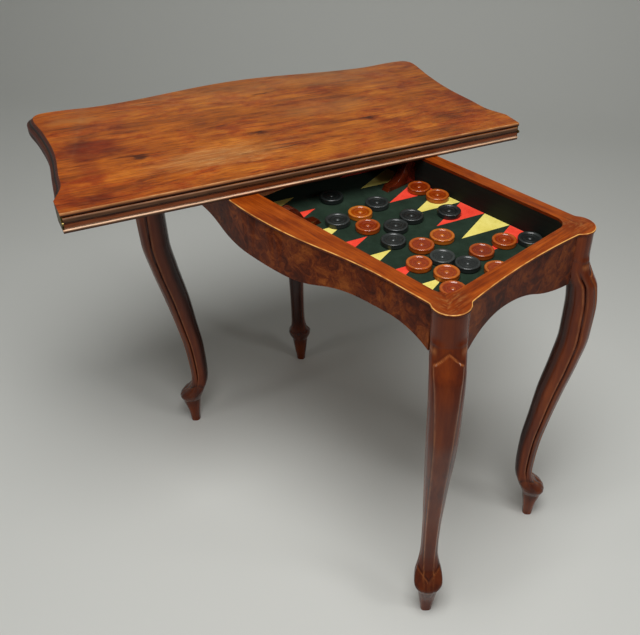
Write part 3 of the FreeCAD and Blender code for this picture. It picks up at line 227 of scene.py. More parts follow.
# %% Knots and stains
def round_place(tree, axes, mark, inner=0.35, outer=1.1):
    """1 at the middle of a mark on the board and 0 outside it; the mark gives its place and half sizes in mm."""
    along, away, half_long, half_wide = mark[:4]
    local = add(tree, "ShaderNodeMapping", {"vector_type": "TEXTURE"}, {
        "Vector": axes, "Location": [along / 1000, away / 1000, 0], "Scale": [half_long / 1000, half_wide / 1000, 1.0],
    })
    reach = add(tree, "ShaderNodeVectorMath", {"operation": "LENGTH"}, {0: local})
    near = add(tree, "ShaderNodeMapRange", {"interpolation_type": "SMOOTHSTEP"}, {
        "Value": reach, "From Min": outer, "From Max": inner, "To Min": 0.0, "To Max": 1.0,
    })
    return local, near


def parted_by_knots(tree, axes, knots):
    """Axes on which the grain opens round each knot."""
    for mark in knots:
        local, near = round_place(tree, axes, mark, 0.3, 3.2)
        push = add(tree, "ShaderNodeVectorMath", {"operation": "MULTIPLY"}, {0: local, 1: [0.0, -0.62 * mark[3] / 1000, 0.0]})
        part = add(tree, "ShaderNodeVectorMath", {"operation": "SCALE"}, {0: push, "Scale": near})
        axes = add(tree, "ShaderNodeVectorMath", {"operation": "ADD"}, {0: axes, 1: part})
    return axes


def stained(tree, axes, colour, marks, mode="MULTIPLY"):
    """The colour with each mark laid over it: place and half sizes in mm, strength, and the mark's colour."""
    for mark in marks:
        local, near = round_place(tree, axes, mark)
        share = add(tree, "ShaderNodeMath", {"operation": "MULTIPLY"}, {0: near, 1: mark[4]})
        colour = add(tree, "ShaderNodeMix", {"data_type": "RGBA", "blend_type": mode}, {
            "Factor": share, "A": colour, "B": mark[5],
        })
    return colour


def facing(tree):
    """The upward part of the surface's direction in the piece's own space, from -1 to 1."""
    where = add(tree, "ShaderNodeTexCoord")
    parts = add(tree, "ShaderNodeSeparateXYZ", None, {"Vector": where.outputs["Normal"]})
    return parts


# %% [markdown]
# ## Finishes of the table
#
# The top is walnut under worn polish, darker round its knots and stains, and its moulded
# edge carries painted shade in its grooves and coves and painted highlights on its slopes
# that face up. The rails are veneered with burr, the legs are stained redder with painted
# shade in their carving, and the cap is a lighter strip with its arris rubbed through to
# bare wood and painted shade at its corners and sides. The board has cloth points let into
# green baize.

# %% Walnut of the top, waxed over old polish
# A waxed surface spreads its highlights softly, and the colour stays deep under it.
leaf_turn = math.degrees(math.atan2(0.95424, 0.29904))
leaf_centre = (-30.4786, -46.3888, 717.35)
leaf_thick = 16.85
# place along and away from the hinge, half length, half width, in mm
top_knots = [(-282, 146, 30, 11), (-46, 152, 17, 7), (150, 140, 34, 9), (30, 326, 15, 5), (-120, 232, 12, 5)]
top_marks = [
    (-320, 206, 64, 52, 0.80, "#A8583C"), (-336, 240, 30, 16, 0.60, "#8A5244"), (-292, 188, 28, 20, 0.50, "#98584A"),
    (-345, 130, 22, 110, 0.40, "#B8744C"), (-276, 146, 40, 13, 0.75, "#8A5A3A"), (-262, 142, 18, 6, 0.70, "#6A4430"),
    (-46, 152, 26, 9, 0.80, "#8A5438"), (-44, 152, 12, 4, 0.80, "#64402E"), (150, 140, 44, 11, 0.70, "#92603E"),
    (162, 142, 15, 5, 0.85, "#583A2A"), (30, 326, 34, 7, 0.75, "#8A5A3C"), (34, 325, 10, 4, 0.85, "#4A2E20"),
    (20, 250, 90, 24, 0.40, "#B07850"), (-6, 84, 110, 14, 0.40, "#A06A48"), (170, 238, 60, 26, 0.45, "#A4705A"),
    (-110, 300, 130, 10, 0.35, "#A06C4C"), (66, 322, 120, 9, 0.30, "#A07450"), (380, 190, 40, 90, 0.35, "#B08468"),
    (-60, 372, 90, 22, 0.20, "#B08860"), (-390, 330, 60, 40, 0.25, "#B88660"),
    (-372, 24, 50, 26, 0.60, "#A86A4C"), (-300, 20, 150, 34, 0.45, "#C08A68"), (-210, 60, 70, 14, 0.35, "#B47A58"),
]
top_fades = [(-150, 92, 130, 40, 0.40, "#B4814A"), (-330, 330, 60, 14, 0.3, "#B98A50"), (110, 216, 120, 40, 0.25, "#AA7A48"),
              (140, 360, 260, 40, 0.25, "#B07C44")]

top_walnut, tree, shader = blank_material("waxed_walnut_top")
board = board_axes(tree, (0, 0, leaf_turn), leaf_centre)
flowing = parted_by_knots(tree, swayed(tree, board, 30), top_knots)
colour, lines, pores = walnut(tree, flowing, [
    (0.36, "#6A350B"), (0.44, "#8C4B12"), (0.50, "#A35B17"), (0.56, "#B46B20"), (0.65, "#C88334"),
], blotch=(110, 52), band=(190, 15), line=(76, 1.7), pore=(20, 0.8), fine_share=0.27, line_dark=0.6, pore_dark=0.5)
mottle = streaks(tree, swayed(tree, board, 30, 50, 30), 72, 40, 6.0, 0.68)
hue = add(tree, "ShaderNodeValToRGB", {"stops": [
    (0.36, "#D8A684"), (0.45, "#F4D6BA"), (0.52, "#FFF6E6"), (0.62, "#FFF6D0"),
]}, {"Fac": mottle})
colour = add(tree, "ShaderNodeMix", {"data_type": "RGBA", "blend_type": "MULTIPLY"}, {"Factor": 1.0, "A": colour, "B": hue})
ragged = swayed(tree, swayed(tree, board, 60, 70, 30), 26, 24, 9)
colour = stained(tree, ragged, colour, top_marks)
colour = stained(tree, ragged, colour, top_fades, "MIX")
place = add(tree, "ShaderNodeSeparateXYZ", None, {"Vector": board})
drift = add(tree, "ShaderNodeMapRange", None, {"Value": place.outputs["X"], "From Min": -0.42, "From Max": 0.42})
tint = add(tree, "ShaderNodeValToRGB", {"stops": [(0.0, "#F6DCC0"), (0.45, "#FFF8E6"), (1.0, "#F6EEEA")]}, {"Fac": drift})
colour = add(tree, "ShaderNodeMix", {"data_type": "RGBA", "blend_type": "MULTIPLY"}, {"Factor": 1.0, "A": colour, "B": tint})
worn_lines = add(tree, "ShaderNodeMapRange", None, {
    "Value": streaks(tree, flowing, 64, 1.4, 2.0), "From Min": 0.54, "From Max": 0.62, "To Min": 0.0, "To Max": 0.6,
})
rubbed_away = round_place(tree, ragged, (-140, 92, 150, 56), 0.2, 1.2)[1]
worn_share = add(tree, "ShaderNodeMapRange", None, {"Value": rubbed_away, "To Min": 0.12, "To Max": 1.0})
worn_lines = add(tree, "ShaderNodeMath", {"operation": "MULTIPLY"}, {0: worn_lines, 1: worn_share})
colour = add(tree, "ShaderNodeMix", {"data_type": "RGBA"}, {"Factor": worn_lines, "A": colour, "B": "#CC9A62"})
print("flat of the top:", len(tree.nodes), "nodes")

# %% The top's moulded edge
# The depth from a leaf's outer face tells the members of the moulding apart. The ramps give
# the wood's colour with painted shade in the grooves and coves that face down or in, and
# painted highlights on the slopes that face up.
depth = add(tree, "ShaderNodeMath", {"operation": "ABSOLUTE"}, {0: place.outputs["Z"]})
member = add(tree, "ShaderNodeMapRange", None, {
    "Value": depth, "From Min": leaf_thick / 1000, "From Max": 0.0, "To Min": 0.0, "To Max": 1.0,
})
upper_hinge_edge_lit_and_shaded = add(tree, "ShaderNodeValToRGB", {"stops": [
    (0.00, "#B87E48"), (0.06, "#A87044"), (0.15, "#8A5634"), (0.23, "#42200E"), (0.30, "#200C05"), (0.48, "#200C05"),
    (0.50, "#8A6248"), (0.57, "#7C5A42"), (0.63, "#573A26"), (0.86, "#543622"), (0.94, "#1C0C06"), (1.00, "#0C0503"),
]}, {"Fac": member})
lower_hinge_edge_lit_and_shaded = add(tree, "ShaderNodeValToRGB", {"stops": [
    (0.00, "#2C1208"), (0.20, "#6E4630"), (0.27, "#DDB08A"), (0.46, "#EEC8A8"), (0.52, "#9A5C38"), (0.58, "#8A4A28"),
    (0.70, "#82431F"), (0.88, "#6E3519"), (0.94, "#2A1208"), (1.00, "#0C0503"),
]}, {"Fac": member})
shaped_edge_shaded = add(tree, "ShaderNodeValToRGB", {"stops": [
    (0.00, "#6A3210"), (0.08, "#441604"), (0.22, "#3A1003"), (0.30, "#120502"), (0.44, "#180702"), (0.52, "#4E1602"),
    (0.74, "#421202"), (0.92, "#300C02"), (1.00, "#0C0402"),
]}, {"Fac": member})
of_upper = add(tree, "ShaderNodeMapRange", None, {"Value": place.outputs["Z"], "From Min": -0.0001, "From Max": 0.0001})
hinge_edge_lit_and_shaded = add(tree, "ShaderNodeMix", {"data_type": "RGBA"}, {"Factor": of_upper, "A": lower_hinge_edge_lit_and_shaded, "B": upper_hinge_edge_lit_and_shaded})
past_hinge = add(tree, "ShaderNodeMapRange", None, {"Value": place.outputs["Y"], "From Min": 0.0040, "From Max": 0.0052})
edge = add(tree, "ShaderNodeMix", {"data_type": "RGBA"}, {"Factor": past_hinge, "A": hinge_edge_lit_and_shaded, "B": shaped_edge_shaded})
uneven = add(tree, "ShaderNodeMapRange", None, {
    "Value": streaks(tree, board, 40, 3.0, 4.0, 0.65), "From Min": 0.35, "From Max": 0.65, "To Min": 0.62, "To Max": 1.25,
})
edge = add(tree, "ShaderNodeVectorMath", {"operation": "SCALE"}, {0: edge, "Scale": uneven})
way = facing(tree)
level = add(tree, "ShaderNodeMath", {"operation": "ABSOLUTE"}, {0: way.outputs["Z"]})
on_edge = add(tree, "ShaderNodeMapRange", None, {"Value": level, "From Min": 0.97, "From Max": 0.86})
# the moulded edge takes these ramps, with their painted shade and painted highlights
colour = add(tree, "ShaderNodeMix", {"data_type": "RGBA"}, {"Factor": on_edge, "A": colour, "B": edge})
arris_low = add(tree, "ShaderNodeMapRange", None, {"Value": way.outputs["Z"], "From Min": 0.30, "From Max": 0.60})
arris_high = add(tree, "ShaderNodeMapRange", None, {"Value": way.outputs["Z"], "From Min": 0.995, "From Max": 0.96})
arris = add(tree, "ShaderNodeMath", {"operation": "MULTIPLY"}, {0: arris_low, 1: arris_high})
at_face = add(tree, "ShaderNodeMapRange", None, {"Value": member, "From Min": 0.09, "From Max": 0.05})
arris = add(tree, "ShaderNodeMath", {"operation": "MULTIPLY"}, {0: arris, 1: at_face})
rubbed = add(tree, "ShaderNodeMapRange", None, {
    "Value": streaks(tree, board, 34, 12, 3.0, 0.7), "From Min": 0.46, "From Max": 0.60, "To Min": 0.25, "To Max": 0.95,
})
arris = add(tree, "ShaderNodeMath", {"operation": "MULTIPLY"}, {0: arris, 1: rubbed})
on_shaped = add(tree, "ShaderNodeMapRange", None, {"Value": past_hinge, "To Min": 1.0, "To Max": 0.35})
arris = add(tree, "ShaderNodeMath", {"operation": "MULTIPLY"}, {0: arris, 1: on_shaped})
colour = add(tree, "ShaderNodeMix", {"data_type": "RGBA"}, {"Factor": arris, "A": colour, "B": "#D9A066"})
near_hinge = add(tree, "ShaderNodeMapRange", None, {"Value": place.outputs["Y"], "From Min": 0.0034, "From Max": 0.0016})
near_hinge = add(tree, "ShaderNodeMath", {"operation": "MULTIPLY"}, {0: near_hinge, 1: at_face})
near_hinge = add(tree, "ShaderNodeMath", {"operation": "MULTIPLY"}, {0: near_hinge, 1: of_upper})
near_hinge = add(tree, "ShaderNodeMath", {"operation": "MULTIPLY"}, {0: near_hinge, 1: rubbed})
colour = add(tree, "ShaderNodeMix", {"data_type": "RGBA"}, {"Factor": near_hinge, "A": colour, "B": "#DFA26A"})
polished(tree, shader, colour, lines, pores, 0.40, 0.16, 0.06)
shader.inputs["Specular IOR Level"].default_value = 0.22
print("whole top walnut:", len(tree.nodes), "nodes")

# %% Burr walnut veneer of the rails
# A burr is a growth of countless small buds, so it shows swirls and dark eyes of a few millimetres.
apron_burr, tree, shader = blank_material("burr_walnut_veneer")
where = add(tree, "ShaderNodeTexCoord")
bend = add(tree, "ShaderNodeTexNoise", None, {"Vector": where.outputs["Object"], "Scale": 26.0, "Detail": 3.0, "Roughness": 0.6})
bent = add(tree, "ShaderNodeVectorMath", {"operation": "MULTIPLY_ADD"}, {
    0: bend.outputs["Color"], 1: [0.034, 0.034, 0.034], 2: where.outputs["Object"],
})
swirls = add(tree, "ShaderNodeTexNoise", None, {
    "Vector": bent, "Scale": 42.0, "Detail": 5.0, "Roughness": 0.62, "Distortion": 1.6,
})
clouds = add(tree, "ShaderNodeTexNoise", None, {"Vector": where.outputs["Object"], "Scale": 13.0, "Detail": 3.0, "Roughness": 0.55})
eyes = add(tree, "ShaderNodeTexVoronoi", {"feature": "F1"}, {"Vector": bent, "Scale": 66.0, "Randomness": 1.0})
fibres = add(tree, "ShaderNodeTexNoise", None, {"Vector": bent, "Scale": 420.0, "Detail": 2.0, "Roughness": 0.6})
both = add(tree, "ShaderNodeMix", {"data_type": "FLOAT"}, {"Factor": 0.5, "A": swirls, "B": clouds})
ground = add(tree, "ShaderNodeValToRGB", {"stops": [
    (0.36, "#381204"), (0.44, "#4E1C06"), (0.50, "#66290A"), (0.56, "#7E3A10"), (0.65, "#9C521C"),
]}, {"Fac": both})
in_eye = add(tree, "ShaderNodeMapRange", {"interpolation_type": "SMOOTHSTEP"}, {
    "Value": eyes.outputs["Distance"], "From Min": 0.24, "From Max": 0.08, "To Min": 0.0, "To Max": 0.40,
})
colour = add(tree, "ShaderNodeMix", {"data_type": "RGBA", "blend_type": "MULTIPLY"}, {"Factor": in_eye, "A": ground, "B": "#6A3A26"})
crotch = add(tree, "ShaderNodeMapRange", None, {"Value": fibres, "From Min": 0.35, "From Max": 0.65, "To Min": 0.84, "To Max": 1.14})
colour = add(tree, "ShaderNodeVectorMath", {"operation": "SCALE"}, {0: colour, "Scale": crotch})
way = facing(tree)
on_end = add(tree, "ShaderNodeMath", {"operation": "ABSOLUTE"}, {0: way.outputs["X"]})
on_end = add(tree, "ShaderNodeMapRange", None, {"Value": on_end, "From Min": 0.70, "From Max": 0.95})
colour = add(tree, "ShaderNodeMix", {"data_type": "RGBA", "blend_type": "MULTIPLY"}, {"Factor": on_end, "A": colour, "B": "#E2DCDA"})
polished(tree, shader, colour, fibres, swirls, 0.34, 0.12, 0.04)
shader.inputs["Specular IOR Level"].default_value = 0.10
print("burr:", len(tree.nodes), "nodes")

# %% Stained walnut of the legs
# Painted shade darkens the carving, the hollows and the legs' inner sides, and the arrises
# are rubbed lighter: the legs' points carry both as numbers.
leg_walnut, tree, shader = blank_material("stained_walnut_leg")
upright = board_axes(tree, (0, -90, 0))
colour, lines, pores = walnut(tree, swayed(tree, upright, 8, 120, 30), [
    (0.34, "#481602"), (0.46, "#602304"), (0.54, "#722E06"), (0.62, "#843A0B"), (0.70, "#964813"),
], blotch=(170, 60), band=(320, 36), line=(260, 12.0), line_dark=0.1, pore_dark=0.0)
painted_shade = add(tree, "ShaderNodeAttribute", {"attribute_name": "shade"})
dark = add(tree, "ShaderNodeMath", {"operation": "MULTIPLY"}, {0: painted_shade.outputs["Fac"], 1: 0.92})
# painted shade: the shade value from the leg's points darkens the colour
colour = add(tree, "ShaderNodeMix", {"data_type": "RGBA", "blend_type": "MULTIPLY"}, {"Factor": dark, "A": colour, "B": "#402418"})
rubbed = add(tree, "ShaderNodeAttribute", {"attribute_name": "worn"})
broken = add(tree, "ShaderNodeMapRange", None, {
    "Value": streaks(tree, upright, 26, 7, 4.0, 0.65), "From Min": 0.38, "From Max": 0.60, "To Min": 0.35, "To Max": 1.0,
})
light = add(tree, "ShaderNodeMath", {"operation": "MULTIPLY"}, {0: rubbed.outputs["Fac"], 1: broken})
colour = add(tree, "ShaderNodeMix", {"data_type": "RGBA"}, {"Factor": light, "A": colour, "B": "#B9713A"})
polished(tree, shader, colour, lines, pores, 0.17, 0.06, 0.010)
shader.inputs["Specular IOR Level"].default_value = 0.28
print("leg walnut:", len(tree.nodes), "nodes")

# %% Darker polish of the brackets
# The brackets sit inside the tray, and their walnut is given darker colours than the legs'.
bracket_walnut, tree, shader = blank_material("dark_polished_walnut_bracket")
upright = board_axes(tree, (0, -90, 0))
colour, lines, pores = walnut(tree, swayed(tree, upright, 6, 80, 20), [
    (0.34, "#2E0C04"), (0.50, "#421405"), (0.62, "#541C08"), (0.72, "#62260C"),
], blotch=(90, 40), band=(160, 14), line=(120, 6.0), line_dark=0.1, pore_dark=0.0)
polished(tree, shader, colour, lines, pores, 0.16, 0.04, 0.004)

# %% Walnut of the cap, one finish for each way the strips run
# The cap is rubbed by sleeves, so its outer arris is bare and its corners are scratched;
# painted shade darkens its corners and its sides.
cap_finish = {}
for run, turn in (("long", 0), ("cross", 90)):
    cap_finish[run], tree, shader = blank_material(f"waxed_walnut_cap_{run}")
    axes = board_axes(tree, (0, 0, turn))
    colour, lines, pores = walnut(tree, swayed(tree, axes, 8, 120, 30), [
        (0.36, "#662604"), (0.45, "#7E3206"), (0.52, "#903F09"), (0.60, "#A04B11"), (0.68, "#AE591B"),
    ], blotch=(60, 26), band=(150, 8), line=(90, 1.8), line_dark=0.3, pore_dark=0.2)
    where = add(tree, "ShaderNodeTexCoord")
    mirrored = add(tree, "ShaderNodeVectorMath", {"operation": "ABSOLUTE"}, {0: where.outputs["Object"]})
    corner = add(tree, "ShaderNodeVectorMath", {"operation": "DISTANCE"}, {0: mirrored, 1: [0.356, 0.154, 0.700]})
    at_corner = add(tree, "ShaderNodeMapRange", None, {"Value": corner.outputs["Value"], "From Min": 0.040, "From Max": 0.014})
    # painted shade: the colour is darkened near each corner
    colour = add(tree, "ShaderNodeMix", {"data_type": "RGBA", "blend_type": "MULTIPLY"}, {"Factor": at_corner, "A": colour, "B": "#D2C2B8"})
    scratch = add(tree, "ShaderNodeMapRange", None, {
        "Value": streaks(tree, axes, 14, 3.0, 4.0, 0.7), "From Min": 0.50, "From Max": 0.62, "To Min": 0.0, "To Max": 0.2,
    })
    scraped = add(tree, "ShaderNodeMath", {"operation": "MULTIPLY"}, {0: at_corner, 1: scratch})
    colour = add(tree, "ShaderNodeMix", {"data_type": "RGBA"}, {"Factor": scraped, "A": colour, "B": "#CC9454"})
    way = facing(tree)
    # painted shade: faces that turn away from upright are darkened
    side = add(tree, "ShaderNodeMapRange", None, {"Value": way.outputs["Z"], "From Min": 0.45, "From Max": 0.15})
    colour = add(tree, "ShaderNodeMix", {"data_type": "RGBA", "blend_type": "MULTIPLY"}, {"Factor": side, "A": colour, "B": "#BC9A88"})
    low = add(tree, "ShaderNodeMapRange", None, {"Value": way.outputs["Z"], "From Min": 0.25, "From Max": 0.50})
    high = add(tree, "ShaderNodeMapRange", None, {"Value": way.outputs["Z"], "From Min": 0.985, "From Max": 0.90})
    bare = add(tree, "ShaderNodeMath", {"operation": "MULTIPLY"}, {0: low, 1: high})
    patchy = add(tree, "ShaderNodeMapRange", None, {
        "Value": streaks(tree, axes, 30, 10, 3.0, 0.6), "From Min": 0.42, "From Max": 0.56, "To Min": 0.35, "To Max": 1.0,
    })
    bare = add(tree, "ShaderNodeMath", {"operation": "MULTIPLY"}, {0: bare, 1: patchy})
    colour = add(tree, "ShaderNodeMix", {"data_type": "RGBA"}, {"Factor": bare, "A": colour, "B": "#E2A85C"})
    polished(tree, shader, colour, lines, pores, 0.38, 0.14, 0.04)
    shader.inputs["Specular IOR Level"].default_value = 0.16
print("cap finishes:", list(cap_finish))

# %% Plain sawn wood of the hidden parts
# Sawn beech is left unpolished, with pale rays and the marks of the saw.
carcass_wood, tree, shader = blank_material("sawn_beech_carcass")
axes = board_axes(tree)
colour, lines, pores = walnut(tree, swayed(tree, axes, 10), [
    (0.38, "#7E5632"), (0.50, "#A27648"), (0.62, "#BA8F5C"),
], blotch=(160, 40), band=(300, 9), line=(120, 2.0), pore=(5, 0.7))
polished(tree, shader, colour, lines, pores, 0.75, 0.1, 0.12)

# %% Green stained lining
# A thin strip with a dull dark stain, so that the board inside looks deep.
lining_stain, tree, shader = blank_material("green_stained_lining")
axes = board_axes(tree)
colour, lines, pores = walnut(tree, axes, [
    (0.38, "#040805"), (0.50, "#080E0A"), (0.64, "#0E1610"),
], blotch=(80, 30), band=(200, 6))
polished(tree, shader, colour, lines, pores, 0.66, 0.1, 0.04)
shader.inputs["Specular IOR Level"].default_value = 0.2

# %% Baize and the points
# Baize is a milled woollen cloth: its fibres scatter light, so it has sheen and no highlight.
cloths = {}
for name, stops, sheen in (
    ("green_baize", [(0.34, "#121E14"), (0.50, "#1B2B1F"), (0.66, "#25362A")], 0.03),
    ("red_cloth_points", [(0.34, "#D23220"), (0.50, "#E84330"), (0.66, "#F4543E")], 0.03),
    ("yellow_cloth_points", [(0.34, "#CBBB54"), (0.50, "#DDCE6A"), (0.66, "#E8DB7E")], 0.03),
):
    cloths[name], tree, shader = blank_material(name)
    where = add(tree, "ShaderNodeTexCoord")
    nap = add(tree, "ShaderNodeTexNoise", None, {"Vector": where.outputs["Object"], "Scale": 700.0, "Detail": 3.0, "Roughness": 0.7})
    soiled = add(tree, "ShaderNodeTexNoise", None, {"Vector": where.outputs["Object"], "Scale": 34.0, "Detail": 4.0, "Roughness": 0.6})
    both = add(tree, "ShaderNodeMix", {"data_type": "FLOAT"}, {"Factor": 0.5, "A": nap, "B": soiled})
    colour = add(tree, "ShaderNodeValToRGB", {"stops": stops}, {"Fac": both})
    tree.links.new(colour.outputs["Color"], shader.inputs["Base Color"])
    relief = add(tree, "ShaderNodeBump", None, {"Strength": 0.6, "Distance": 0.0002, "Height": nap})
    tree.links.new(relief.outputs["Normal"], shader.inputs["Normal"])
    shader.inputs["Roughness"].default_value = 0.95
    shader.inputs["Specular IOR Level"].default_value = 0.15
    shader.inputs["Sheen Weight"].default_value = sheen
baize, red_cloth, yellow_cloth = cloths["green_baize"], cloths["red_cloth_points"], cloths["yellow_cloth_points"]

# %% Brass and iron
# Old brass keeps a brown-green skin and is bright only where it rubs. Iron screws have gone nearly black.
metals = {}
for name, stops, rough in (
    ("aged_cast_brass", [(0.34, "#39351F"), (0.50, "#5E5430"), (0.60, "#6F6138"), (0.70, "#8C7848")], 0.46),
    ("blackened_iron", [(0.34, "#2A2624"), (0.52, "#413C38"), (0.68, "#5C544C")], 0.5),
):
    metals[name], tree, shader = blank_material(name)
    where = add(tree, "ShaderNodeTexCoord")
    skin = add(tree, "ShaderNodeTexNoise", None, {"Vector": where.outputs["Object"], "Scale": 160.0, "Detail": 5.0, "Roughness": 0.65})
    colour = add(tree, "ShaderNodeValToRGB", {"stops": stops}, {"Fac": skin})
    tree.links.new(colour.outputs["Color"], shader.inputs["Base Color"])
    dull = add(tree, "ShaderNodeMapRange", None, {
        "Value": skin, "From Min": 0.3, "From Max": 0.7, "To Min": rough + 0.14, "To Max": rough - 0.12,
    })
    tree.links.new(dull.outputs["Result"], shader.inputs["Roughness"])
    relief = add(tree, "ShaderNodeBump", None, {"Strength": 0.4, "Distance": 0.0002, "Height": skin})
    tree.links.new(relief.outputs["Normal"], shader.inputs["Normal"])
    shader.inputs["Metallic"].default_value = 1.0
aged_brass, iron_screw = metals["aged_cast_brass"], metals["blackened_iron"]

# %% Turned and polished wood of the men
# Friction polish from the lathe is glossy. Each man carries a tone of its own, and painted
# shade in its dish and on its side.
turned = {}
for name, stops, painted_shade_colour, gloss in (
    ("turned_stained_beech", [(0.0, "#93400F"), (0.45, "#A64E14"), (0.8, "#B05C18"), (1.0, "#B96C1E")], "#CC9A80", 0.18),
    ("turned_blackened_beech", [(0.0, "#1C201F"), (0.5, "#262A29"), (1.0, "#303533")], "#C0C0C0", 0.30),
):
    turned[name], tree, shader = blank_material(name)
    tone = add(tree, "ShaderNodeAttribute", {"attribute_name": "tone"})
    ground = add(tree, "ShaderNodeValToRGB", {"stops": stops}, {"Fac": tone.outputs["Fac"]})
    axes = board_axes(tree, (0, 0, 30))
    flecks = streaks(tree, axes, 9, 1.4, 3.0, 0.6)
    cloud = streaks(tree, axes, 16, 9, 3.0, 0.6)
    both = add(tree, "ShaderNodeMix", {"data_type": "FLOAT"}, {"Factor": 0.5, "A": flecks, "B": cloud})
    varied = add(tree, "ShaderNodeMapRange", None, {"Value": both, "From Min": 0.35, "From Max": 0.65, "To Min": 0.72, "To Max": 1.22})
    colour = add(tree, "ShaderNodeVectorMath", {"operation": "SCALE"}, {0: ground, "Scale": varied})
    # painted shade from the profile darkens the dish and the side
    painted_shade = add(tree, "ShaderNodeAttribute", {"attribute_name": "shade"})
    colour = add(tree, "ShaderNodeMix", {"data_type": "RGBA", "blend_type": "MULTIPLY"}, {
        "Factor": painted_shade.outputs["Fac"], "A": colour, "B": painted_shade_colour,
    })
    polished(tree, shader, colour, flecks, cloud, gloss, 0.06, 0.004)
light_turned, dark_turned = turned["turned_stained_beech"], turned["turned_blackened_beech"]
print("finishes:", len(bpy.data.materials))

# %% [markdown]
# ## Joinery from the solids
#
# A solid from the CAD is a cloud of separate triangles with razor edges. Real arrises are
# eased by hand and catch a thin line of light. So each visible solid is copied, its
# triangles are joined, flat ones are merged to one face, and a Bevel modifier eases every
# sharp edge by a fraction of a millimetre. The rooms of the joints stay as they are.

# %% A copy with eased arrises
finish_of = {
    "top_wood": top_walnut, "apron_burr": apron_burr, "leg_wood": leg_walnut, "cap_wood": cap_finish["long"],
    "carcass": carcass_wood, "lining": lining_stain, "baize": baize, "red_cloth": red_cloth,
    "yellow_cloth": yellow_cloth, "brass": aged_brass, "iron": iron_screw,
    "light_turned_wood": light_turned, "dark_turned_wood": dark_turned,
}


def stand_in(piece, node, material=None):
    """The piece takes the place of a solid, rides on its body and wears its finish."""
    piece.data.materials.clear()
    piece.data.materials.append(material or finish_of[slot_of[node]])
    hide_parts(node)
    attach(piece, body_of[node])
    return piece


def object_from(name, mesh):
    made = bpy.data.objects.new(name, mesh)
    bpy.context.scene.collection.objects.link(made)
    return made


def eased_copy(node, ease_mm, steps=2):
    """A joined copy of a solid whose sharp edges are rounded by ease_mm."""
    shape = bmesh.new()
    shape.from_mesh(nodes[node].data)
    bmesh.ops.remove_doubles(shape, verts=shape.verts, dist=2e-6)
    bmesh.ops.dissolve_limit(shape, angle_limit=math.radians(0.2), verts=shape.verts, edges=shape.edges)
    rough = bpy.data.meshes.new(f"{node}_rough")
    shape.to_mesh(rough)
    shape.free()
    for face in rough.polygons:
        face.use_smooth = True
    rough.set_sharp_from_angle(angle=math.radians(30))
    if not ease_mm:
        return rough
    holder = object_from(f"{node}_holder", rough)
    easing = holder.modifiers.new("easing", "BEVEL")
    easing.width = ease_mm / 1000
    easing.segments = steps
    easing.limit_method = "ANGLE"
    easing.angle_limit = math.radians(30)
    easing.harden_normals = True
    easing.use_clamp_overlap = True
    evaluated = holder.evaluated_get(bpy.context.evaluated_depsgraph_get())
    mesh = bpy.data.meshes.new_from_object(evaluated)
    bpy.data.objects.remove(holder)
    return mesh


easing_of = {
    "upper_leaf": 0.45, "lower_leaf": 0.45, "front_rail": 0.5, "back_rail": 0.5, "left_rail": 0.5, "right_rail": 0.5,
    "front_cap": 0.3, "back_cap": 0.3, "left_cap": 0.3, "right_cap": 0.3, "back_bar_bracket": 0.6,
    "front_bar_bracket": 0.6, "pivot_bridge": 0.8, "glue_blocks": 0.6, "front_lining": 0, "back_lining": 0,
    "left_lining": 0, "right_lining": 0, "corner_coves": 0, "tray_floor": 0, "baize_floor": 0, "red_points": 0,
    "yellow_points": 0, "lower_cloth": 0.1, "upper_cloth": 0.1, "lower_hinge_plates": 0.15, "upper_hinge_plates": 0.15,
    "hinge_pins": 0.1, "pivot_plate": 0.2, "pivot_nut": 0.5, "top_washer": 0.2, "nut_washer": 0.2, "stop_peg": 0.5,
}
own_finish = {
    "front_cap": cap_finish["long"], "back_cap": cap_finish["long"], "left_cap": cap_finish["cross"],
    "right_cap": cap_finish["cross"], "back_bar_bracket": bracket_walnut, "front_bar_bracket": bracket_walnut,
}
joinery = {}
for node, ease_mm in easing_of.items():
    piece = object_from(f"shown_{node}", eased_copy(node, ease_mm))
    joinery[node] = stand_in(piece, node, own_finish.get(node))
print(len(joinery), "eased copies,", sum(len(piece.data.polygons) for piece in joinery.values()), "faces")

# %% [markdown]
# ## The cabriole legs
#
# A cabriole leg is sawn from a square block along an S on two faces and then carved. Its
# section changes all the way down, so the leg is drawn as a stack of sections: each row
# of the table below gives how far the front and the back stand from the corner's middle,
# and the half width. Between the rows a smooth curve through them fills in the sections,
# which keeps the sweep of the knee and ankle even. The carved panel, the groove at each
# side and the scrolled toe are then pressed into the skin as small heights.

# %% Sections of the leg
corner_long, corner_wide = 360.0, 157.5
shank_high, cap_underside = 640.0, 695.0
end_rail_low = 603.0
rail_end_long, rail_end_wide = 340.93, 134.5
post_radius = 28.0
# height share, outer reach / 54.6 mm, inner reach / -37 mm, half width / 27 mm
leg_rows = [
    (0.000, 0.27, 0.13, 0.38), (0.016, 0.28, 0.14, 0.41), (0.048, 0.31, 0.20, 0.53), (0.085, 0.41, 0.30, 0.64),
    (0.104, 0.46, 0.36, 0.70), (0.119, 0.52, 0.46, 0.87), (0.135, 0.41, 0.57, 0.96), (0.150, 0.22, 0.68, 0.92),
    (0.168, 0.06, 0.80, 0.78), (0.190, -0.02, 0.92, 0.66), (0.215, -0.05, 0.98, 0.59), (0.256, -0.03, 1.00, 0.57),
    (0.336, 0.045, 0.96, 0.59), (0.433, 0.23, 0.76, 0.67), (0.538, 0.48, 0.54, 0.76), (0.656, 0.79, 0.16, 0.87),
    (0.753, 0.98, -0.07, 0.93), (0.845, 1.00, -0.08, 0.96), (0.922, 0.89, 0.05, 1.00), (0.956, 0.71, 0.38, 1.00),
    (0.981, 0.57, 0.54, 1.00), (1.000, 0.51, 0.59, 1.00),
]


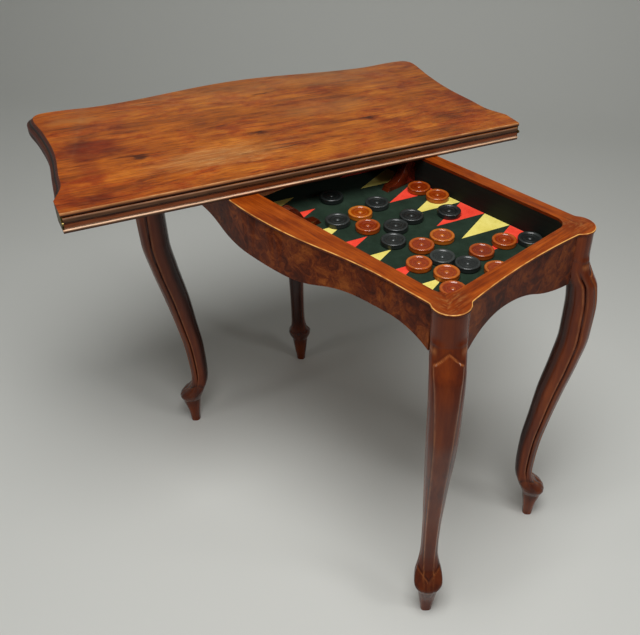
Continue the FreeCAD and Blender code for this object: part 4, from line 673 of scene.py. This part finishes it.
def smooth_row(rows, place):
    """The row's values at a place between its knots, on curves that never swing past a knot."""
    last = len(rows) - 1
    index = max(0, min(last - 1, sum(1 for row in rows if row[0] <= place) - 1))
    run = rows[index + 1][0] - rows[index][0]
    share = max(0.0, min(1.0, (place - rows[index][0]) / run))
    values = []
    for column in range(1, len(rows[0])):
        slopes = [(rows[k + 1][column] - rows[k][column]) / (rows[k + 1][0] - rows[k][0]) for k in range(last)]

        def tangent(k):
            if k in (0, last):
                return slopes[0 if k == 0 else -1]
            before, after = slopes[k - 1], slopes[k]
            return 0.0 if before * after <= 0 else 2 * before * after / (before + after)

        low, high = rows[index][column], rows[index + 1][column]
        first, second = tangent(index) * run, tangent(index + 1) * run
        values.append(
            low * (1 + 2 * share) * (1 - share) ** 2 + first * share * (1 - share) ** 2
            + high * share ** 2 * (3 - 2 * share) + second * share ** 2 * (share - 1)
        )
    return values


def ease(low, high, value):
    """0 below low, 1 above high, and a smooth step between."""
    share = max(0.0, min(1.0, (value - low) / (high - low)))
    return share * share * (3 - 2 * share)


# %% The skin of one section
# Half of an even section, from the front to the back: depth from the inner side, and width.
section_half = [
    (0.0, 1.00, 0.00), (0.09, 0.995, 0.30), (0.17, 0.965, 0.60), (0.24, 0.90, 0.76), (0.32, 0.81, 0.91),
    (0.43, 0.66, 1.00), (0.56, 0.48, 1.00), (0.68, 0.30, 0.93), (0.80, 0.13, 0.72), (0.90, 0.03, 0.40), (1.0, 0.00, 0.00),
]
around_half = 44
# the half section is cut at even steps round from front to back
around = sorted({round(step / around_half, 4) for step in range(around_half + 1)})


def panel_half_width(height):
    """Half the width of the raised panel on the leg's front."""
    knots = [(40, 0.0), (60, 6.5), (98, 8.5), (150, 9.0), (270, 10.5), (430, 12.5), (515, 15.0), (573, 18.0), (614, 21.0), (640, 21.0)]
    return smooth_row(knots, height)[0]


def carved(height, share, reach, width):
    """How far the carving lifts the skin here, how worn it is, and how much painted shade it gets."""
    lift, worn, shade = 0.0, 0.0, 0.0
    crest = 631 - 17 * min(1.0, width / 21)
    panel = panel_half_width(height)
    if share < 0.38 and 50 < height < 640:
        # a panel that stands proud, with a chamfer along each edge and a chevron at its head
        inside = ease(-1.6, 1.2, panel - width) * ease(-1.0, 1.0, crest - height) * ease(46, 60, height)
        lift += 1.6 * inside
        edge = math.exp(-((width - panel - 0.4) / 1.0) ** 2) * ease(0, 3, crest - height) * ease(70, 110, height)
        top = 0.9 * math.exp(-((height - crest - 0.3) / 0.9) ** 2) * ease(-0.5, 0.8, panel + 0.6 - width)
        beside = math.exp(-((width - panel - 2.6) / 1.1) ** 2) * ease(0, 8, crest - height) * ease(90, 140, height)
        above = math.exp(-((height - crest - 4.5) / 2.6) ** 2) * ease(-2.0, 1.0, panel + 2 - width)
        worn = max(edge * 0.55, top)
        # painted shade in the hollow beside the panel and in the neck above its chevron
        shade = max(0.45 * beside, 0.35 * above)
    # a hollow runs down each side, a little further back at the knee
    along = ease(96, 150, height) * ease(632, 604, height)
    hollow = 0.455 + 0.05 * ease(380, 600, height)
    lift -= 3.0 * math.exp(-((share - hollow) / 0.030) ** 2) * along
    rims = 0.3 * math.exp(-((share - hollow + 0.060) / 0.014) ** 2) + 0.6 * math.exp(-((share - hollow - 0.066) / 0.018) ** 2)
    worn = max(worn, rims * along)
    # painted shade along the hollow and over the inner side of the leg
    shade = max(shade, math.exp(-((share - hollow) / 0.022) ** 2) * along, 0.85 * ease(0.68, 0.84, share) * along)
    if 70 < height < 126:
        # two lobes of the toe, and between them a tongue that ends in a point
        notch = 21 * ease(88, 114, height)
        lobe = ease(-1.6, 1.6, width - notch) * ease(72, 84, height) * ease(126, 106, height) * ease(0.46, 0.30, share)
        lift += 1.9 * lobe
        worn = max(worn, 0.32 * math.exp(-((width - notch - 0.8) / 1.0) ** 2) * lobe)
        # painted shade in the cleft between the tongue and each lobe
        shade = max(shade, 0.9 * math.exp(-((width - notch + 2.2) / 2.0) ** 2) * ease(86, 94, height) * ease(124, 110, height))
    # the toe is made darker through the same shade value
    if height < 128:
        shade = max(shade, 0.42 * ease(128, 96, height) * ease(40, 66, height))
    collar = math.exp(-((height - 71) / 1.6) ** 2) * ease(0.5, 0.4, share)
    lift += 0.7 * collar
    worn = max(worn, 0.55 * collar)
    neck = math.exp(-((height - 640) / 3.0) ** 2) * ease(0.10, 0.26, share) * ease(0.46, 0.36, share)
    lift -= 0.4 * neck
    # painted shade in the small groove at the neck
    shade = max(shade, 0.25 * neck)
    worn = max(worn, 0.5 * math.exp(-((height - 633) / 5.0) ** 2) * ease(0.16, 0.26, share) * ease(0.46, 0.38, share))
    return lift, min(1.0, worn), min(1.0, shade)


def leg_section(height):
    """One ring of the leg: points outwards along the corner's diagonal and across it, with wear and shade."""
    half_ring = []
    outer_share, inner_share, width_share = smooth_row(leg_rows, min(1.0, height / shank_high))
    outer, inner, half = 54.6 * outer_share, -37 * inner_share, 27 * width_share
    into_post = ease(0, 14, height - shank_high)
    for share in around:
        depth, wide = smooth_row(section_half, share)
        reach, width = inner + (outer - inner) * depth, half * wide
        # above the shank the section turns into the round post, which is flat against the rails
        turn = math.radians(205 * min(0.62, share))
        fall = max(0.0, share - 0.62) / 0.38
        post_reach = post_radius * math.cos(turn) * (1 - fall) - 22 * fall
        post_width = post_radius * math.sin(turn) * (1 - fall)
        reach += (post_reach - reach) * into_post
        width += (post_width - width) * into_post
        half_ring.append((share, reach, width))
    ring = []
    for index, (share, reach, width) in enumerate(half_ring):
        before = half_ring[max(0, index - 1)]
        after = half_ring[min(len(half_ring) - 1, index + 1)]
        run = Vector((after[1] - before[1], after[2] - before[2]))
        out = Vector((run.y, -run.x)).normalized() if run.length > 1e-6 else Vector((1, 0))
        if share == 0:
            out = Vector((1, 0))
        lift, worn, shade = carved(height, share, reach, width)
        ring.append((reach + out.x * lift, width + out.y * lift, worn, shade))
    mirror = [(reach, -width, worn, shade) for reach, width, worn, shade in ring[-2:0:-1]]
    return ring + mirror


# %% The four legs
def leg_heights():
    """Rows of the mesh: close where the carving is fine."""
    heights = [0.0, 1.5]
    height = 1.5
    while height < cap_underside:
        height += 1.6 if height < 110 or 606 < height < 646 else 4.0
        heights.append(min(height, cap_underside))
    return [h for h in heights if abs(h - end_rail_low) > 0.8] + [end_rail_low - 0.01, end_rail_low + 0.01]


def leg_mesh(name, side_x, side_y):
    """The carved leg at one corner, with its wear and shade kept on the points."""
    shape = bmesh.new()
    worn_layer = shape.verts.layers.float.new("worn")
    shade_layer = shape.verts.layers.float.new("shade")
    diagonal, across = Vector((1, 1)).normalized(), Vector((-1, 1)).normalized()
    rings = []
    for height in sorted(leg_heights()):
        ring = []
        for reach, width, worn, shade in leg_section(height):
            x = corner_long + diagonal.x * reach + across.x * width
            y = corner_wide + diagonal.y * reach + across.y * width
            if height > end_rail_low:
                x, y = max(x, rail_end_long), max(y, rail_end_wide)
            vertex = shape.verts.new((x * side_x / 1000, y * side_y / 1000, height / 1000))
            vertex[worn_layer] = worn
            vertex[shade_layer] = shade
            ring.append(vertex)
        rings.append(ring)
    for lower, upper in zip(rings, rings[1:]):
        for index in range(len(lower)):
            follow = (index + 1) % len(lower)
            shape.faces.new((lower[index], lower[follow], upper[follow], upper[index]))
    shape.faces.new(rings[0][::-1])
    shape.faces.new(rings[-1])
    bmesh.ops.remove_doubles(shape, verts=shape.verts, dist=1e-6)
    bmesh.ops.recalc_face_normals(shape, faces=shape.faces)
    mesh = bpy.data.meshes.new(name)
    shape.to_mesh(mesh)
    shape.free()
    for face in mesh.polygons:
        face.use_smooth = True
    mesh.set_sharp_from_angle(angle=math.radians(50))
    return mesh


legs = {}
for node, side_x, side_y in (
    ("front_right_leg", 1, -1), ("back_right_leg", 1, 1), ("front_left_leg", -1, -1), ("back_left_leg", -1, 1),
):
    legs[node] = stand_in(object_from(f"carved_{node}", leg_mesh(node, side_x, side_y)), node)
print("legs of", len(legs["front_right_leg"].data.polygons), "faces each")

# %% [markdown]
# ## The men
#
# Thirty draughtsmen are turned to one pattern: a raised rim, a sunk ring and a small boss
# where the lathe's centre was. One man is spun from its profile, and Geometry Nodes set
# a copy at each man's place with a turn of its own, so that no two look alike. The places
# are read from the solids, one loose part for each man.

# %% The middle of each loose part of a solid
def loose_parts(node):
    """The points of each separate body in a solid's mesh."""
    shape = bmesh.new()
    shape.from_mesh(nodes[node].data)
    bmesh.ops.remove_doubles(shape, verts=shape.verts, dist=2e-6)
    waiting = set(shape.verts)
    parts = []
    while waiting:
        edge_of_part = [waiting.pop()]
        part = list(edge_of_part)
        while edge_of_part:
            vertex = edge_of_part.pop()
            for link in vertex.link_edges:
                other = link.other_vert(vertex)
                if other in waiting:
                    waiting.remove(other)
                    edge_of_part.append(other)
                    part.append(other)
        parts.append([vertex.co.copy() for vertex in part])
    shape.free()
    return parts


def box_of(points):
    low = Vector([min(point[axis] for point in points) for axis in range(3)])
    high = Vector([max(point[axis] for point in points) for axis in range(3)])
    return low, high


# %% One turned man
# The profile from the middle of the underside round to the middle of the boss, in mm.
man_profile = [
    (0.0, 0.0), (19.8, 0.0), (20.7, 0.5), (21.1, 1.7), (21.05, 3.3), (20.95, 4.9), (21.0, 6.4), (21.1, 7.4),
    (20.95, 8.3), (20.5, 9.0), (19.8, 9.5), (18.9, 9.78), (17.9, 9.78), (17.0, 9.5), (16.2, 9.0), (15.5, 8.4),
    (14.8, 7.95), (14.0, 7.75), (12.4, 7.7), (11.7, 7.85), (11.2, 8.2), (10.6, 8.35), (10.0, 8.2), (9.5, 7.85),
    (8.8, 7.7), (6.4, 7.7), (4.6, 7.7), (4.0, 7.95), (3.5, 8.5), (2.8, 9.0), (1.6, 9.35), (0.0, 9.45),
]


def man_shade(radius, height):
    """How much painted shade a point of the profile gets: little below 7 mm, more the lower a point lies under the rim,
    and less near the boss.
    """
    if height < 7.0:
        return 0.12
    return max(0.0, min(1.0, (9.3 - height) / 1.3)) * (1.0 if radius > 4 else 0.4)


def spun(name, profile, steps):
    """A closed shape turned round the upright axis, from a profile in millimetres."""
    shape = bmesh.new()
    shade_layer = shape.verts.layers.float.new("shade")
    rings = []
    for radius, height in profile:
        if radius == 0:
            rings.append([shape.verts.new((0, 0, height / 1000))])
            continue
        angles = [2 * math.pi * step / steps for step in range(steps)]
        rings.append([
            shape.verts.new((radius * math.cos(angle) / 1000, radius * math.sin(angle) / 1000, height / 1000))
            for angle in angles
        ])
    for lower, upper in zip(rings, rings[1:]):
        for step in range(steps):
            follow = (step + 1) % steps
            if len(lower) == 1:
                shape.faces.new((lower[0], upper[follow], upper[step]))
            elif len(upper) == 1:
                shape.faces.new((lower[step], lower[follow], upper[0]))
            else:
                shape.faces.new((lower[step], lower[follow], upper[follow], upper[step]))
    for (radius, height), ring in zip(profile, rings):
        for vertex in ring:
            vertex[shade_layer] = man_shade(radius, height)
    bmesh.ops.recalc_face_normals(shape, faces=shape.faces)
    mesh = bpy.data.meshes.new(name)
    shape.to_mesh(mesh)
    shape.free()
    for face in mesh.polygons:
        face.use_smooth = True
    mesh.set_sharp_from_angle(angle=math.radians(60))
    return mesh


# %% Geometry Nodes that set out copies
def setting_out_tree():
    """Copies of one object on the points of a mesh, each turned by its own attributes."""
    group = bpy.data.node_groups.new("setting_out", "GeometryNodeTree")
    face = group.interface
    face.new_socket("Places", in_out="INPUT", socket_type="NodeSocketGeometry")
    face.new_socket("Pattern piece", in_out="INPUT", socket_type="NodeSocketObject")
    face.new_socket("Size", in_out="INPUT", socket_type="NodeSocketFloat")
    face.new_socket("Free turn", in_out="INPUT", socket_type="NodeSocketFloat")
    face.new_socket("Seed", in_out="INPUT", socket_type="NodeSocketInt")
    face.new_socket("Finish", in_out="INPUT", socket_type="NodeSocketMaterial")
    face.new_socket("Pieces", in_out="OUTPUT", socket_type="NodeSocketGeometry")
    start = add(group, "NodeGroupInput")
    end = add(group, "NodeGroupOutput")
    pattern = add(group, "GeometryNodeObjectInfo", {"transform_space": "ORIGINAL"}, {"Object": start.outputs["Pattern piece"]})
    way = add(group, "GeometryNodeInputNamedAttribute", {"data_type": "FLOAT_VECTOR"}, {"Name": "way"})
    aimed = add(group, "FunctionNodeAlignRotationToVector", {"axis": "Z"}, {"Vector": way})
    most = add(group, "ShaderNodeMath", {"operation": "MULTIPLY"}, {0: start.outputs["Free turn"], 1: 1.0})
    least = add(group, "ShaderNodeMath", {"operation": "MULTIPLY"}, {0: start.outputs["Free turn"], 1: -1.0})
    chance = add(group, "FunctionNodeRandomValue", {"data_type": "FLOAT"}, {"Min": least, "Max": most, "Seed": start.outputs["Seed"]})
    copies = add(group, "GeometryNodeInstanceOnPoints", None, {
        "Points": start.outputs["Places"], "Instance": pattern.outputs["Geometry"], "Rotation": aimed,
        "Scale": start.outputs["Size"],
    })
    spin = add(group, "ShaderNodeCombineXYZ", None, {"Z": chance})
    turned = add(group, "GeometryNodeRotateInstances", None, {"Instances": copies, "Rotation": spin})
    real = add(group, "GeometryNodeRealizeInstances", None, {"Geometry": turned})
    dressed = add(group, "GeometryNodeSetMaterial", None, {"Geometry": real, "Material": start.outputs["Finish"]})
    group.links.new(dressed.outputs["Geometry"], end.inputs["Pieces"])
    return group


setting_out = setting_out_tree()


def set_out(name, pattern_mesh, places, ways, finish, free_turn, seed, tones=()):
    """One mesh with a copy of the pattern at each place, its own z along each way."""
    mesh = bpy.data.meshes.new(f"{name}_places")
    mesh.from_pydata([tuple(place) for place in places], [], [])
    layer = mesh.attributes.new("way", "FLOAT_VECTOR", "POINT")
    for index, way in enumerate(ways):
        layer.data[index].vector = way
    tone_layer = mesh.attributes.new("tone", "FLOAT", "POINT")
    for index, tone in enumerate(tones):
        tone_layer.data[index].value = tone
    holder = object_from(f"{name}_holder", mesh)
    pattern = object_from(f"{name}_pattern", pattern_mesh)
    steps = holder.modifiers.new("setting out", "NODES")
    steps.node_group = setting_out
    given = {"Pattern piece": pattern, "Size": 1.0, "Free turn": free_turn, "Seed": seed, "Finish": finish}
    for socket in setting_out.interface.items_tree:
        if socket.in_out == "INPUT" and socket.name in given:
            steps[socket.identifier] = given[socket.name]
    evaluated = holder.evaluated_get(bpy.context.evaluated_depsgraph_get())
    made = bpy.data.meshes.new_from_object(evaluated)
    bpy.data.objects.remove(holder)
    bpy.data.objects.remove(pattern)
    return object_from(name, made)


# %% The two sets of men
men = {}
for number, node in enumerate(("light_men", "dark_men")):
    places = []
    for part in loose_parts(node):
        low, high = box_of(part)
        places.append(((low.x + high.x) / 2, (low.y + high.y) / 2, low.z))
    finish = finish_of[slot_of[node]]
    tones = [(index * 0.618) % 1.0 for index in range(len(places))]
    pattern = spun(f"turned_{node}", man_profile, 64)
    piece = set_out(f"turned_{node}", pattern, places, [(0, 0, 1)] * len(places), finish, math.pi, 3 + number, tones)
    men[node] = stand_in(piece, node)
    print(node, len(places), "places,", len(piece.data.polygons), "faces, box", [round(v * 1000, 1) for v in box_of([v.co for v in piece.data.vertices])[1]])

# %% [markdown]
# ## The screws
#
# Each screw is countersunk, with a slot across its head. The slot is a real notch in the
# pattern piece: the head's rim is a ring of points, and those that lie in the slot are
# set lower. The same setting-out tree then puts a screw into each hole, driven to a
# different angle, as a person with a screwdriver leaves them.

# %% A slotted screw
def slotted_screw(name, radius, head, head_high, length):
    """A countersunk screw that points along z, its head's face at zero with a slot in it."""
    shape = bmesh.new()
    bmesh.ops.create_grid(shape, x_segments=22, y_segments=22, size=head)
    for vertex in shape.verts:
        x, y = vertex.co.x / head, vertex.co.y / head
        square = max(abs(x), abs(y))
        length_now = math.hypot(x, y)
        if length_now > 0:
            vertex.co.x, vertex.co.y = x * square / length_now * head, y * square / length_now * head
        in_slot = abs(vertex.co.y) < 0.42 / 1000 * head / 0.003
        vertex.co.z = 0.0009 * head / 0.003 if in_slot and square < 0.97 else 0.00004 * square
    rim = sorted((v for v in shape.verts if math.hypot(v.co.x, v.co.y) > head * 0.999), key=lambda v: math.atan2(v.co.y, v.co.x))
    rows = [(head, 0.0002), (radius, head_high), (radius * 0.98, length * 0.8), (radius * 0.25, length)]
    before = rim
    for reach, height in rows:
        ring = []
        for vertex in rim:
            angle = math.atan2(vertex.co.y, vertex.co.x)
            ring.append(shape.verts.new((reach * math.cos(angle), reach * math.sin(angle), height)))
        for index in range(len(rim)):
            follow = (index + 1) % len(rim)
            shape.faces.new((before[index], before[follow], ring[follow], ring[index]))
        before = ring
    shape.faces.new(before)
    bmesh.ops.recalc_face_normals(shape, faces=shape.faces)
    mesh = bpy.data.meshes.new(name)
    shape.to_mesh(mesh)
    shape.free()
    for face in mesh.polygons:
        face.use_smooth = True
    mesh.set_sharp_from_angle(angle=math.radians(28))
    return mesh


def head_of(part, way):
    """The middle of a screw's head: the end of the part that is furthest back along its way."""
    least = min(point.dot(way) for point in part)
    ends = [point for point in part if point.dot(way) < least + 2e-5]
    low, high = box_of(ends)
    return (low + high) / 2


leaf_along = Vector((0.29904, 0.95424, 0))
leaf_middle = Vector(leaf_centre) / 1000
screws = {}
for number, node in enumerate(("pivot_screws", "floor_screws", "lower_hinge_screws", "upper_hinge_screws")):
    places, ways = [], []
    for part in loose_parts(node):
        middle = sum(part, Vector()) / len(part)
        way = Vector((0, 0, 1))
        if "hinge" in node:
            way = -leaf_along if (middle - leaf_middle).dot(leaf_along) > 0 else leaf_along
        places.append(head_of(part, way))
        ways.append(way)
    low, high = box_of(loose_parts(node)[0])
    length = max((point - places[0]).dot(ways[0]) for point in loose_parts(node)[0])
    pattern = slotted_screw(f"slotted_{node}", 0.0015, 0.003, 0.0016, length)
    piece = set_out(f"slotted_{node}", pattern, places, ways, finish_of[slot_of[node]], math.pi, 11 + number)
    screws[node] = stand_in(piece, node)
    print(node, len(places), "screws of", round(length * 1000, 1), "mm")

# %% [markdown]
# ## The room
#
# The studio is a pale grey floor that sweeps up behind the table, and large soft lamps
# that give an even light from above. The colours then come out about as they are
# written, and the floor keeps the table's soft shadow.

# %% Floor and backdrop
sweep = bmesh.new()
profile = [(-2.2, 0.0), (1.9, 0.0)]
profile += [(1.9 + 0.9 * math.sin(math.radians(turn)), 0.9 - 0.9 * math.cos(math.radians(turn))) for turn in range(10, 91, 10)]
profile += [(2.8, 3.6)]
toward = Vector((look.x, look.y, 0)).normalized()
aside = Vector((toward.y, -toward.x, 0))
rows = []
for run, rise in profile:
    rows.append([sweep.verts.new(toward * run + aside * side + Vector((0, 0, rise))) for side in (-3.6, 3.6)])
for before, after in zip(rows, rows[1:]):
    sweep.faces.new((before[0], before[1], after[1], after[0]))
bmesh.ops.recalc_face_normals(sweep, faces=sweep.faces)
floor_mesh = bpy.data.meshes.new("studio_floor")
sweep.to_mesh(floor_mesh)
sweep.free()
for face in floor_mesh.polygons:
    face.use_smooth = True
floor = object_from("studio_floor", floor_mesh)
paper, tree, shader = blank_material("matt_grey_paper")
shader.inputs["Base Color"].default_value = linear("#D3D4CF")
shader.inputs["Roughness"].default_value = 0.8
floor.data.materials.append(paper)

# %% Lamps
def soft_lamp(name, place, target, size, power, colour="#FFFFFF"):
    data = bpy.data.lights.new(name, "AREA")
    data.shape = "DISK"
    data.size = size
    data.energy = power
    data.color = linear(colour)[:3]
    lamp = bpy.data.objects.new(name, data)
    lamp.location = place
    lamp.rotation_euler = (Vector(target) - Vector(place)).to_track_quat("-Z", "Y").to_euler()
    bpy.context.scene.collection.objects.link(lamp)
    return lamp


soft_lamp("lamp_above", (0.60, -0.60, 2.7), (-0.1, 0.05, 0.4), 1.5, 58)
soft_lamp("lamp_right", (1.9, 0.5, 1.5), (0.0, 0.0, 0.4), 0.5, 5)
soft_lamp("lamp_left", (-0.7, -2.2, 1.5), (0.0, 0.0, 0.4), 0.5, 3)
world = bpy.data.worlds.new("studio_air")
bpy.context.scene.world = world
world.use_nodes = True
air_light = world.node_tree.nodes["Background"]
air_light.inputs["Color"].default_value = linear("#CBCCC8")
air_light.inputs["Strength"].default_value = 0.115
seen_wall = add(world.node_tree, "ShaderNodeBackground", None, {"Color": "#9E9F9B", "Strength": 1.0})
ray = add(world.node_tree, "ShaderNodeLightPath")
seen = add(world.node_tree, "ShaderNodeMath", {"operation": "MAXIMUM"}, {0: ray.outputs["Is Camera Ray"], 1: ray.outputs["Is Glossy Ray"]})
seen = add(world.node_tree, "ShaderNodeMath", {"operation": "MAXIMUM"}, {0: seen, 1: ray.outputs["Is Transmission Ray"]})
air = add(world.node_tree, "ShaderNodeMixShader", None, {0: seen, 1: air_light, 2: seen_wall})
world.node_tree.links.new(air.outputs["Shader"], world.node_tree.nodes["World Output"].inputs["Surface"])
bpy.context.scene.view_settings.view_transform = "Standard"
